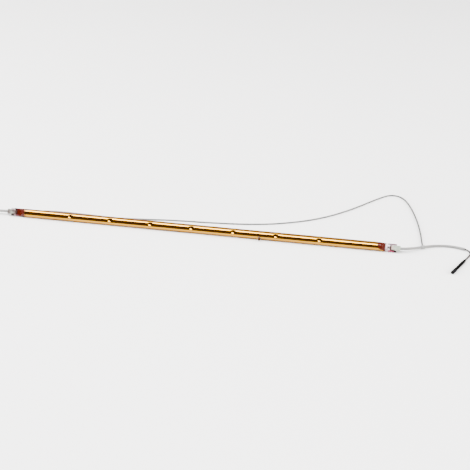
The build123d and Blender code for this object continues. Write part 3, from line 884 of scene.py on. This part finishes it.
def seal_ring(shape, side, sag, x, flatness, angles):
    """One ring of a shoulder or seal: a round-cornered box pressed to an I between its ribs"""
    half_wide = (shape.seal_width / 2 - shape.rib_round) * flatness
    half_deep = (shape.rib_depth / 2 - shape.rib_round) * flatness
    corner = shape.body_radius + (shape.rib_round - shape.body_radius) * flatness
    up_seal = outward(shape.seal_lean + pi / 2)
    to_viewer = outward(shape.seal_lean)
    centre = Vector((side * x, 0, AXIS_HEIGHT)) - up_seal * sag * flatness
    pocket_start = shape.body_half + shape.shoulder + shape.jaw_start
    pocket_half = shape.seal_width / 2 - shape.rib_width
    depth = (shape.rib_depth - shape.web) / 2
    soft = 0.4 * MM
    ring = []
    for turn in angles:
        up = shape.body_radius * sin(turn - shape.seal_lean)
        out = shape.body_radius * cos(turn - shape.seal_lean)
        near_up = max(-half_wide, min(half_wide, up))
        near_out = max(-half_deep, min(half_deep, out))
        reach = hypot(up - near_up, out - near_out)
        up = near_up + corner * (up - near_up) / reach
        out = near_out + corner * (out - near_out) / reach
        ahead, beside = x - pocket_start, pocket_half - abs(up)
        inside = min(ahead, beside)
        if max(ahead, beside) > 0 and ahead < shape.jaw_round and beside < shape.jaw_round:
            inside = shape.jaw_round - hypot(shape.jaw_round - ahead, shape.jaw_round - beside)
        pressed = depth * smooth_step(inside / soft)
        out = out - pressed if out > 0 else out + pressed
        ring.append(centre + up_seal * up + to_viewer * out)
    return ring


def bridge(mesh, first, second):
    """Faces between two rings of as many corners"""
    around = len(first)
    for i in range(around):
        j = (i + 1) % around
        mesh.faces.new((first[i], first[j], second[j], second[i]))


def add_seal(mesh, shape, side, sag, angles):
    """Shoulder and pressed seal at one end, closed at its tip"""
    start, flat = shape.body_half, shape.body_half + shape.shoulder
    shoulder_steps, fine_step, last_steps = 16, 0.1 * MM, 6
    tip_round, tip_share = 0.12 * MM, 0.97
    stations = [
        (start + shape.shoulder * step / shoulder_steps, smooth_step(step / shoulder_steps))
        for step in range(shoulder_steps + 1)
    ]

    # Close together over the pocket's edge, then wider apart to the tip
    stations += [(flat + fine_step * step, 1.0) for step in range(3, 25)]
    tip = SEAL_END - tip_round
    stations += [
        (flat + (tip - flat) * step / last_steps, 1.0) for step in range(2, last_steps + 1)
    ]
    rings = [
        [mesh.verts.new(point) for point in seal_ring(shape, side, sag, x, flatness, angles)]
        for x, flatness in stations
    ]
    middle = Vector((side * SEAL_END, 0, AXIS_HEIGHT)) - outward(shape.seal_lean + pi / 2) * sag
    last = [mesh.verts.new(middle + (vert.co - middle) * tip_share) for vert in rings[-1]]
    for vert in last:
        vert.co.x = side * SEAL_END
    rings.append(last)
    for first, second in zip(rings, rings[1:]):
        bridge(mesh, first, second)
    mesh.faces.new(last)


def add_gas_cone(mesh, shape, side, angles):
    """The end of the gas space, which closes to a point"""
    radius = shape.body_radius - shape.wall
    steps = 5
    rings = []
    for step in range(steps):
        x = shape.gas_cone + (shape.gas_end - shape.gas_cone) * step / steps
        centre, reach = Vector((side * x, 0, AXIS_HEIGHT)), radius * (1 - step / steps)
        rings.append([mesh.verts.new(centre + outward(turn) * reach) for turn in angles])
    for first, second in zip(rings, rings[1:]):
        bridge(mesh, first, second)
    point = mesh.verts.new((side * shape.gas_end, 0, AXIS_HEIGHT))
    for i in range(len(angles)):
        mesh.faces.new((rings[-1][i], rings[-1][(i + 1) % len(angles)], point))


def close_shell(mesh, inside=False):
    """Merges doubles and points the faces out, or into the hollow of a cavity"""
    bmesh.ops.remove_doubles(mesh, verts=mesh.verts, dist=0.002 * MM)
    bmesh.ops.recalc_face_normals(mesh, faces=mesh.faces)
    if inside:
        bmesh.ops.reverse_faces(mesh, faces=mesh.faces)


def make_quartz(shape, filament, material):
    """One closed piece of glass: dented body, shoulders, pressed seals and the gas space"""
    tree = dented_roll_tree()
    closed = [tau * i / shape.columns for i in range(shape.columns + 1)]
    around = closed[:-1]
    bore = shape.body_radius - shape.wall
    whole = bmesh.new()
    walls = (
        (shape.body_radius, shape.dent_ball, shape.body_half, False),
        (bore, shape.dent_ball + shape.wall, shape.gas_cone, True),
    )
    for radius, ball, half, hollow in walls:
        sheet = flat_sheet(station_lines(shape, filament, half), closed)
        shell = run_tree(tree, sheet, roll_values(shape, filament, radius, ball, material))
        mesh = bmesh.new()
        mesh.from_mesh(shell)
        for side, sag in ((-1, 0.0), (1, shape.right_sag)):
            if hollow:
                add_gas_cone(mesh, shape, side, around)
            else:
                add_seal(mesh, shape, side, sag, around)
        close_shell(mesh, inside=hollow)
        mesh.to_mesh(shell)
        mesh.free()
        whole.from_mesh(shell)
        bpy.data.meshes.remove(shell)
    return finish_mesh(whole, "quartz_envelope", material)


def make_coat(shape, filament, material):
    """The gold coat: a dented sheet with its real edges and the hole round the exhaust tip"""
    reach_round = shape.coat_to - shape.coat_from
    columns = round(shape.columns * reach_round / tau)
    angles = [shape.coat_from + reach_round * i / columns for i in range(columns + 1)]
    near_tip, tip_lines = 4 * MM, 24
    lines = station_lines(shape, filament, COAT_HALF)
    lines += [
        shape.pip_x - near_tip + 2 * near_tip * step / tip_lines
        for step in range(tip_lines + 1)
    ]
    sheet = flat_sheet(sorted(set(lines)), angles)

    # The right end leans: its last rings are drawn in more towards the top
    drawn_in = 7 * MM
    for vert in sheet.vertices:
        beyond = vert.co.x - (COAT_HALF - drawn_in)
        if beyond > 0:
            short = shape.body_radius * (1 + sin(vert.co.y)) * tan(shape.coat_lean)
            vert.co.x -= short * beyond / drawn_in
    rolled = run_tree(dented_roll_tree(), sheet, roll_values(
        shape, filament, shape.body_radius + shape.coat, shape.dent_ball - shape.coat, material,
    ))
    mesh = bmesh.new()
    mesh.from_mesh(rolled)
    bpy.data.meshes.remove(rolled)

    # A round hole about the exhaust tip
    way = outward(shape.pip_angle)
    foot = Vector((shape.pip_x, 0, AXIS_HEIGHT))
    hole = shape.pip_radius + shape.pip_clear

    def from_tip(vert):
        arm = vert.co - foot
        return arm - way * arm.dot(way)

    def in_front(vert):
        return (vert.co - foot).dot(way) > 0

    inner = {v for v in mesh.verts if in_front(v) and from_tip(v).length < hole}
    gone = [f for f in mesh.faces if all(v in inner for v in f.verts)]
    bmesh.ops.delete(mesh, geom=gone, context="FACES")
    for vert in mesh.verts:
        arm = from_tip(vert)
        if in_front(vert) and 0 < arm.length < hole:
            vert.co += arm * (hole / arm.length - 1)

    # Its faces point to the viewer, and its thickness grows inwards
    bmesh.ops.recalc_face_normals(mesh, faces=mesh.faces)
    nearest = min(mesh.faces, key=lambda f: f.calc_center_median().y)
    if nearest.normal.y > 0:
        bmesh.ops.reverse_faces(mesh, faces=mesh.faces)
    piece = finish_mesh(mesh, "gold_coat", material)
    skin = piece.modifiers.new("Coat thickness", "SOLIDIFY")
    skin.thickness = shape.coat * 0.9
    skin.offset = -1
    return piece


def make_tip(shape, material):
    """The exhaust tip: a drawn-off nipple of glass with a rounded nose"""
    way = outward(shape.pip_angle)
    foot = Vector((shape.pip_x, 0, AXIS_HEIGHT))
    first = Vector((1, 0, 0))
    second = way.cross(first)
    rise, root_depth, around = shape.pip_height, 0.12, 28

    # Shares of the foot's radius and of the height, from the root to the nose
    outline = (
        (1.00, -0.10), (0.99, -0.03), (0.90, 0.05), (0.79, 0.13), (0.70, 0.22), (0.64, 0.35),
        (0.60, 0.48), (0.57, 0.60), (0.54, 0.70), (0.48, 0.80), (0.38, 0.89), (0.22, 0.97),
    )
    turns = [tau * i / around for i in range(around)]
    mesh = bmesh.new()
    rings = []
    for wide, high in outline:
        centre = foot + way * (shape.body_radius + rise * high)
        rings.append([
            mesh.verts.new(
                centre + (first * cos(turn) + second * sin(turn)) * shape.pip_radius * wide
            )
            for turn in turns
        ])
    for low_ring, high_ring in zip(rings, rings[1:]):
        bridge(mesh, low_ring, high_ring)
    nose = mesh.verts.new(foot + way * (shape.body_radius + rise))
    root = mesh.verts.new(foot + way * (shape.body_radius - root_depth * rise))
    for ring, point in ((rings[-1], nose), (rings[0], root)):
        for i in range(around):
            mesh.faces.new((ring[i], ring[(i + 1) % around], point))
    close_shell(mesh)
    return finish_mesh(mesh, "exhaust_tip", material)


def coil_tree():
    """Turns a straight line into a coil of wire, whose last turns close in to straight legs"""
    tree, start, end = geometry_tree("Filament coil", {
        "Coil radius": 0.0009, "Coil half": 0.2, "Taper": 0.001, "Pitch": 0.001,
        "Wire": 0.0002, "Axis height": 0.005,
    })
    value = start.outputs
    where = point_place(tree)
    past = maths(tree, "SUBTRACT", value["Coil half"], maths(tree, "ABSOLUTE", where["X"]))
    grow = maths(tree, "DIVIDE", past, value["Taper"], use_clamp=True)
    radius = maths(tree, "MULTIPLY", value["Coil radius"], maths(tree, "SQRT", grow))
    turn = maths(tree, "MULTIPLY", maths(tree, "DIVIDE", where["X"], value["Pitch"]), tau)
    rise = maths(tree, "SINE", turn)
    wound = add_node(tree, "ShaderNodeCombineXYZ", {
        "X": where["X"], "Y": maths(tree, "MULTIPLY", radius, maths(tree, "COSINE", turn)),
        "Z": maths(tree, "MULTIPLY_ADD", radius, rise, value["Axis height"]),
    })
    line = add_node(tree, "GeometryNodeMeshToCurve", {"Mesh": value["Geometry"]})
    bent = add_node(tree, "GeometryNodeSetPosition", {
        "Geometry": line.outputs["Curve"], "Position": wound.outputs[0],
    })
    end_tree(tree, start, end, wire_along(tree, bent.outputs["Geometry"], value["Wire"], 5))
    return tree


def make_filament(filament, material):
    """The whole filament as one wire: a straight leg, the coil and the other leg"""
    step = filament.pitch / filament.steps
    count = round(2 * filament.coil_half / step)
    places = [-filament.coil_half + step * i for i in range(count + 1)]
    places = [-LEG_END, *places, LEG_END]
    line = bpy.data.meshes.new("line")
    line.from_pydata(
        [(x, 0, 0) for x in places], [(i, i + 1) for i in range(len(places) - 1)], [],
    )
    made = run_tree(coil_tree(), line, {
        "Coil radius": filament.coil_radius - filament.wire, "Coil half": filament.coil_half,
        "Taper": filament.taper, "Pitch": filament.pitch, "Wire": filament.wire,
        "Axis height": AXIS_HEIGHT, "Material": material,
    })
    return link_object("filament_wire", made)


def support_tree():
    """A flat spiral of wire at each station along the tube"""
    tree, start, end = geometry_tree("Support spirals", {
        "Stations": 7, "First station": -0.15, "Pitch": 0.05, "Hub": 0.0013, "Rim": 0.0028,
        "Wire": 0.0002, "Axis height": 0.005, "Turns": 2.6, "Turn between": 1.7,
    })
    value = start.outputs
    spiral = add_node(tree, "GeometryNodeCurveSpiral", {
        "Resolution": 22, "Rotations": value["Turns"], "Start Radius": value["Hub"],
        "End Radius": value["Rim"], "Height": 0.0,
    })
    upright = add_node(tree, "GeometryNodeTransform", {
        "Geometry": wire_along(tree, spiral.outputs["Curve"], value["Wire"], 8),
        "Rotation": (0, pi / 2, 0),
    })
    first = add_node(tree, "ShaderNodeCombineXYZ", {
        "X": value["First station"], "Z": value["Axis height"],
    })
    step = add_node(tree, "ShaderNodeCombineXYZ", {"X": value["Pitch"]})
    stations = add_node(tree, "GeometryNodeMeshLine", {
        "Count": value["Stations"], "Start Location": first.outputs[0],
        "Offset": step.outputs[0],
    })
    index = add_node(tree, "GeometryNodeInputIndex").outputs[0]
    turned = add_node(tree, "ShaderNodeCombineXYZ", {
        "X": maths(tree, "MULTIPLY", index, value["Turn between"]),
    })
    placed = add_node(tree, "GeometryNodeInstanceOnPoints", {
        "Points": stations.outputs["Mesh"], "Instance": upright.outputs["Geometry"],
        "Rotation": turned.outputs[0],
    })
    end_tree(tree, start, end, placed.outputs["Instances"])
    return tree


def make_supports(filament, material):
    made = run_tree(support_tree(), bpy.data.meshes.new("empty"), {
        "Stations": filament.stations, "First station": FIRST_STATION,
        "Pitch": station_pitch(filament), "Hub": filament.hub, "Rim": filament.rim,
        "Wire": filament.support_wire, "Axis height": AXIS_HEIGHT, "Material": material,
    })
    return link_object("support_spirals", made)


# Cords


def route_curve(name, route, diameter, material, swell=None):
    """A smooth cord along given points; swell scales its thickness at each point"""
    line = bpy.data.curves.new(name, "CURVE")
    line.dimensions = "3D"
    spline = line.splines.new("NURBS")
    spline.points.add(len(route) - 1)
    for point, where in zip(spline.points, route):
        point.co = (*(part * MM for part in where), 1.0)
    for point, scale in zip(spline.points, swell or [1.0] * len(route)):
        point.radius = scale
    spline.order_u = 3
    spline.use_endpoint_u = True
    spline.resolution_u = 10
    line.bevel_depth = diameter / 2
    line.bevel_resolution = 7
    line.use_fill_caps = True
    line.materials.append(material)
    return link_object(name, line)


def centre_line(route):
    """Points of the smooth line itself, read from a curve with no thickness"""
    bare = route_curve("bare_line", route, 0.0, None)
    made = evaluated_mesh(bare)
    points = [vert.co.copy() for vert in made.vertices]
    bpy.data.objects.remove(bare)
    bpy.data.meshes.remove(made)
    return points


def line_length(points):
    return sum((b - a).length for a, b in zip(points, points[1:]))


def lay_cord(piece, route, diameter, slot, node, **facts):
    """Rides and replaces its node; its length is worked out but not kept"""
    settle(piece, slot, node)
    line_length(centre_line(route))


def fray_tree():
    """Loose fibres round the rim of a sleeve's cut end"""
    foot, point, shortest = 0.04 * MM, 0.012 * MM, 0.35
    lean_least, lean_most = (-0.35, -0.1, -0.4), (0.35, 0.85, 0.4)
    tree, start, end = geometry_tree("Frayed rim", {
        "Fibres": 30, "Rim": 0.0014, "Length": 0.0013, "Thickness": foot, "Seed": 5,
    })
    value = start.outputs
    rim = add_node(tree, "GeometryNodeMeshCircle", {
        "Vertices": value["Fibres"], "Radius": value["Rim"],
    })
    fibre = add_node(tree, "GeometryNodeMeshCone", {
        "Vertices": 4, "Side Segments": 3, "Radius Top": point,
        "Radius Bottom": value["Thickness"], "Depth": value["Length"],
    })
    index = add_node(tree, "GeometryNodeInputIndex").outputs[0]
    turn = maths(tree, "DIVIDE", maths(tree, "MULTIPLY", index, tau), value["Fibres"])
    lean = add_node(tree, "FunctionNodeRandomValue", {
        "Min": lean_least, "Max": lean_most, "Seed": value["Seed"],
    }, data_type="FLOAT_VECTOR")
    outward_turn = add_node(tree, "ShaderNodeCombineXYZ", {"Z": turn})
    aimed = add_node(tree, "FunctionNodeEulerToRotation", {"Euler": lean.outputs["Value"]})
    swung = add_node(tree, "FunctionNodeEulerToRotation", {"Euler": outward_turn.outputs[0]})
    both = add_node(tree, "FunctionNodeRotateRotation", {
        "Rotation": aimed.outputs[0], "Rotate By": swung.outputs[0],
    })
    size = add_node(tree, "FunctionNodeRandomValue", {
        "Min": shortest, "Max": 1.0, "Seed": value["Seed"],
    }, data_type="FLOAT")
    placed = add_node(tree, "GeometryNodeInstanceOnPoints", {
        "Points": rim.outputs["Mesh"], "Instance": fibre.outputs["Mesh"],
        "Rotation": both.outputs[0], "Scale": size.outputs[1],
    })
    end_tree(tree, start, end, placed.outputs["Instances"])
    return tree


def make_fray(name, leads, route, material, seed):
    """Loose fibres at the end of a sleeve, turned to follow its last run"""
    just_inside, root_depth, floor_gap = 0.46, 0.3 * MM, 0.05 * MM
    made = run_tree(fray_tree(), bpy.data.meshes.new("empty"), {
        "Fibres": leads.fibres, "Rim": leads.sleeve * just_inside, "Length": leads.fray,
        "Seed": seed, "Material": material,
    })
    tip, before = (Vector(part) * MM for part in (route[-1], route[-2]))
    way = (tip - before).normalized()
    turn = way.to_track_quat("Z", "Y").to_matrix().to_4x4()
    turn.translation = tip - way * root_depth
    made.transform(turn)
    for vert in made.vertices:
        vert.co.z = max(vert.co.z, floor_gap)
    return link_object(name, made)


# Operators, one for each piece or group of like pieces


class PieceOperator:
    """What every piece's operator shares"""
    bl_options = {"REGISTER", "UNDO"}

    @classmethod
    def poll(cls, context):
        return context.scene is not None


class QuartzEnvelope(PieceOperator, bpy.types.Operator):
    """Make the quartz envelope with its dents, shoulders, pressed seals and exhaust tip"""
    bl_idname = "heating_tube.quartz_envelope"
    bl_label = "Quartz Envelope"

    def execute(self, context):
        shape, finish = context.scene.tube_shape, context.scene.tube_finish
        filament = context.scene.tube_filament
        glass = make_quartz(shape, filament, quartz_material(finish, shape))
        settle(glass, "quartz", "quartz_tube")
        settle(make_tip(shape, tip_material(finish)), "quartz", "quartz_tube")
        return {"FINISHED"}


class GoldCoat(PieceOperator, bpy.types.Operator):
    """Make the gold reflector coat on the viewer's side of the tube"""
    bl_idname = "heating_tube.gold_coat"
    bl_label = "Gold Coat"

    def execute(self, context):
        scene = context.scene
        coat = make_coat(scene.tube_shape, scene.tube_filament, gold_material(scene.tube_finish))
        settle(coat, "gold", "gold_reflector")
        return {"FINISHED"}


class Filament(PieceOperator, bpy.types.Operator):
    """Make the filament coil and the spirals that hold it"""
    bl_idname = "heating_tube.filament"
    bl_label = "Filament"

    def execute(self, context):
        filament, finish = context.scene.tube_filament, context.scene.tube_finish
        wire = metal_material(
            "drawn_tungsten", finish.tungsten, roughness=0.38, stretch=(1, 0.2, 1),
        )
        settle(make_filament(filament, wire), "tungsten", "filament")
        nodes = [f"filament_support_{i + 1}" for i in range(filament.stations)]
        settle(make_supports(filament, wire), "tungsten", *nodes)
        return {"FINISHED"}


class SealMetals(PieceOperator, bpy.types.Operator):
    """Finish the foils, pins, crimps and bare lead ends inside the seals and caps"""
    bl_idname = "heating_tube.seal_metals"
    bl_label = "Seal Metals"

    def execute(self, context):
        finish = context.scene.tube_finish
        rolled = metal_material(
            "rolled_molybdenum", finish.molybdenum, roughness=0.5, stretch=(0.1, 1, 1),
        )
        nickel = metal_material(
            "plain_nickel", finish.nickel, roughness=0.30, stretch=(0.3, 1, 1),
        )
        for end in ("left", "right"):
            for piece in ("foil", "pin"):
                dress_node(f"{piece}_{end}", rolled)
            for piece in ("crimp", "lead_core"):
                dress_node(f"{piece}_{end}", nickel)
        return {"FINISHED"}


class EndCaps(PieceOperator, bpy.types.Operator):
    """Finish the ceramic caps and their cement"""
    bl_idname = "heating_tube.end_caps"
    bl_label = "End Caps"

    def execute(self, context):
        finish = context.scene.tube_finish
        ceramic = ceramic_material(finish, context.scene.tube_shape)
        cement = cement_material(finish)
        for end in ("left", "right"):
            dress_node(f"cap_{end}", ceramic)
            dress_node(f"cement_{end}", cement)
        return {"FINISHED"}


class Leads(PieceOperator, bpy.types.Operator):
    """Lay the two sleeves, the return lead and the collar where they join"""
    bl_idname = "heating_tube.leads"
    bl_label = "Leads and Sleeves"

    def execute(self, context):
        leads, finish = context.scene.tube_leads, context.scene.tube_finish
        slim = leads.sleeve_slim
        drawn = (1, 1, 0.98, 0.94, slim, slim, slim, 0.94, 1)
        sleeves = (
            ("left_sleeve", LEFT_SLEEVE_ROUTE, (1, 1, 0.96, 0.98), "sleeve_left", 3),
            ("right_sleeve", LEAD_SLEEVE_ROUTE, drawn, "lead_sleeve", 8),
        )
        for name, route, swell, node, fray_seed in sleeves:
            run = line_length(centre_line(route))
            woven = woven_material(finish, leads.sleeve, run)
            sleeve = route_curve(name, route, leads.sleeve, woven, swell)
            fray = make_fray(f"{name}_fray", leads, route, woven, fray_seed)
            settle(fray, "woven_sleeve")
            lay_cord(
                sleeve, route, leads.sleeve, "woven_sleeve", node, far_end="object",
                stiffness="medium", lay="loose", with_pieces=[fray],
            )
        pale = rubber_material(
            "pale_silicone", finish.pale_rubber, finish.lead_marks, darkening=finish.lead_end_shade,
        )
        lead = route_curve("return_lead_cord", RETURN_ROUTE, leads.lead, pale)
        collar = rubber_material(
            "shrunk_collar", finish.woven, finish.collar_marks, roughness=0.55,
        )
        dress_node("joint_collar", collar)
        lay_cord(
            lead, RETURN_ROUTE, leads.lead, "lead_jacket", "return_lead", far_end="object",
            stiffness="medium", lay="loose", with_pieces=["joint_collar"],
        )
        return {"FINISHED"}


class Tail(PieceOperator, bpy.types.Operator):
    """Lay the red and black wires and finish the boot, jacket and connector"""
    bl_idname = "heating_tube.tail"
    bl_label = "Tail"

    def execute(self, context):
        leads, finish = context.scene.tube_leads, context.scene.tube_finish
        shrink = rubber_material(
            "black_shrink_tubing", finish.shrink, finish.shrink_marks, roughness=0.6, gloss=0.05,
        )
        plastic = moulded_material("black_moulding", finish.plastic)
        brass = metal_material(
            "tinned_brass", finish.brass, roughness=0.3, stretch=(1, 0.3, 1),
        )
        for node in ("tail_boot", "tail_jacket"):
            dress_node(node, shrink)
        dress_node("connector_housing", plastic)
        for node in ("contact_1", "contact_2"):
            dress_node(node, brass)
        red = rubber_material("red_insulation", finish.red, finish.red_marks, gloss=0.1)
        black = rubber_material("black_insulation", finish.black, finish.black_marks, gloss=0.05)
        carried = ["tail_boot", "tail_jacket", "connector_housing", "contact_2"]
        wires = (
            ("red", RED_ROUTE, red, carried), ("black", BLACK_ROUTE, black, ["contact_1"]),
        )
        for name, route, material, on_it in wires:
            wire = route_curve(f"{name}_wire_cord", route, leads.wire, material)
            lay_cord(
                wire, route, leads.wire, f"{name}_insulation", f"{name}_wire",
                far_end="connector", stiffness="medium", lay="loose", with_pieces=on_it,
            )
        return {"FINISHED"}


# The stage


def level_sheet(name, half_length, across, height, material):
    """A level sheet on the stage, between two places across the tube"""
    near, far = across
    sheet = bpy.data.meshes.new(name)
    sheet.from_pydata([
        (-half_length, near, height), (half_length, near, height),
        (half_length, far, height), (-half_length, far, height),
    ], [], [(0, 1, 2, 3)])
    sheet.materials.append(material)
    made = link_object(name, sheet)
    return made


def area_light(name, size, watts, where, turn, mirrored=True):
    """An area light out of the camera's sight; one that isn't mirrored leaves gloss alone"""
    lamp = bpy.data.lights.new(name, "AREA")
    lamp.shape = "RECTANGLE"
    lamp.size, lamp.size_y = size
    lamp.energy = watts
    light = link_object(name, lamp)
    light.location = where
    light.rotation_euler = turn
    light.visible_camera = False
    light.visible_glossy = mirrored


def pale_room(studio):
    """The room as light: dim and warm on the viewer's side, and pale behind the tube"""
    world = bpy.data.worlds.new("pale_room")
    world.use_nodes = True
    tree = world.node_tree
    background = tree.nodes["Background"]
    way = split(tree, add_node(tree, "ShaderNodeTexCoord").outputs["Generated"])
    behind = spread(tree, way["Y"], -0.1, 0.5, 0.0, 1.0)
    wall = [studio.surround * part for part in studio.wall]
    room = ramp(tree, behind, [(0.0, studio.front), (1.0, wall)])

    # The camera sees a plain white backdrop in its place
    seen = add_node(tree, "ShaderNodeLightPath").outputs["Is Camera Ray"]
    strength = maths(tree, "MULTIPLY_ADD", seen, studio.backdrop - 1.0, 1.0)
    view = blend_colours(tree, seen, room, (1, 1, 1))
    set_inputs(tree, background, Color=view, Strength=strength)
    return world


def studio_camera(studio):
    """The camera, turned to face its aim from the distance that the studio gives"""
    lens = bpy.data.cameras.new("studio_camera")
    lens.sensor_width = 36
    lens.lens = studio.focal
    lens.clip_start, lens.clip_end = 0.01, 50
    camera = link_object("studio_camera", lens)
    turn, rise = studio.azimuth, studio.elevation
    back = Vector((sin(turn) * cos(rise), -cos(turn) * cos(rise), sin(rise)))
    camera.location = Vector((studio.aim_x, 0, studio.aim_z)) + back * studio.distance
    camera.rotation_euler = (-back).to_track_quat("-Z", "Y").to_euler()
    return camera


class StudioStage(PieceOperator, bpy.types.Operator):
    """Set the floor, the dark flag, the softbox, the pale room and the camera"""
    bl_idname = "heating_tube.studio"
    bl_label = "Studio"

    def execute(self, context):
        studio, finish = context.scene.tube_studio, context.scene.tube_finish
        half = studio.floor_half
        level_sheet("studio_floor", half, (-half, half), 0.0, floor_material(finish))

        # Only gloss sees the flag, as the dark band along the coat
        flag = level_sheet(
            "dark_flag", studio.flag_half, (-studio.flag_reach, -studio.flag_start),
            studio.flag_height, flag_material(finish),
        )
        flag.visible_camera = flag.visible_diffuse = flag.visible_shadow = False
        flag.visible_transmission = False

        overhead = Vector((studio.softbox_x, studio.softbox_y, studio.softbox_height))
        size = (studio.softbox_long, studio.softbox_deep)
        area_light("softbox", size, studio.softbox, overhead, (0, 0, studio.softbox_turn))
        size = (studio.fill_wide, studio.fill_tall)
        for side in (-1, 1):
            where = Vector((side * studio.fill_x, studio.fill_y, studio.fill_z))
            facing = (-where).to_track_quat("-Z", "Y").to_euler()
            area_light("side_fill", size, studio.fill, where, facing, mirrored=False)
        context.scene.world = pale_room(studio)
        context.scene.camera = studio_camera(studio)
        return {"FINISHED"}


PIECES = (QuartzEnvelope, GoldCoat, Filament, SealMetals, EndCaps, Leads, Tail, StudioStage)


class TubePanel(bpy.types.Panel):
    """Lists the pieces in the 3D view's sidebar"""
    bl_idname = "VIEW3D_PT_heating_tube"
    bl_label = "Quartz Heating Tube"
    bl_space_type = "VIEW_3D"
    bl_region_type = "UI"
    bl_category = "Heating Tube"

    def draw(self, context):
        column = self.layout.column(align=True)
        for piece in PIECES:
            column.operator(piece.bl_idname)
        column.separator()
        column.prop(context.scene.tube_shape, "columns")
        column.prop(context.scene.tube_filament, "pitch")
        column.prop(context.scene.tube_finish, "gold")
        column.prop(context.scene.tube_studio, "softbox")


GROUPS = {
    "tube_shape": TubeShape, "tube_filament": FilamentShape, "tube_leads": LeadShape,
    "tube_finish": Finishes, "tube_studio": Studio,
}


def register():
    for group in GROUPS.values():
        bpy.utils.register_class(group)
    for name, group in GROUPS.items():
        setattr(bpy.types.Scene, name, bpy.props.PointerProperty(type=group))
    for piece in PIECES:
        bpy.utils.register_class(piece)
    bpy.utils.register_class(TubePanel)


def unregister():
    bpy.utils.unregister_class(TubePanel)
    for piece in reversed(PIECES):
        bpy.utils.unregister_class(piece)
    for name in GROUPS:
        delattr(bpy.types.Scene, name)
    for group in reversed(GROUPS.values()):
        bpy.utils.unregister_class(group)


def main():
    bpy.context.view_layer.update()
    register()
    bpy.ops.heating_tube.quartz_envelope()
    bpy.ops.heating_tube.gold_coat()
    bpy.ops.heating_tube.filament()
    bpy.ops.heating_tube.seal_metals()
    bpy.ops.heating_tube.end_caps()
    bpy.ops.heating_tube.leads()
    bpy.ops.heating_tube.tail()
    bpy.ops.heating_tube.studio()


if __name__ == "__main__":
    main()
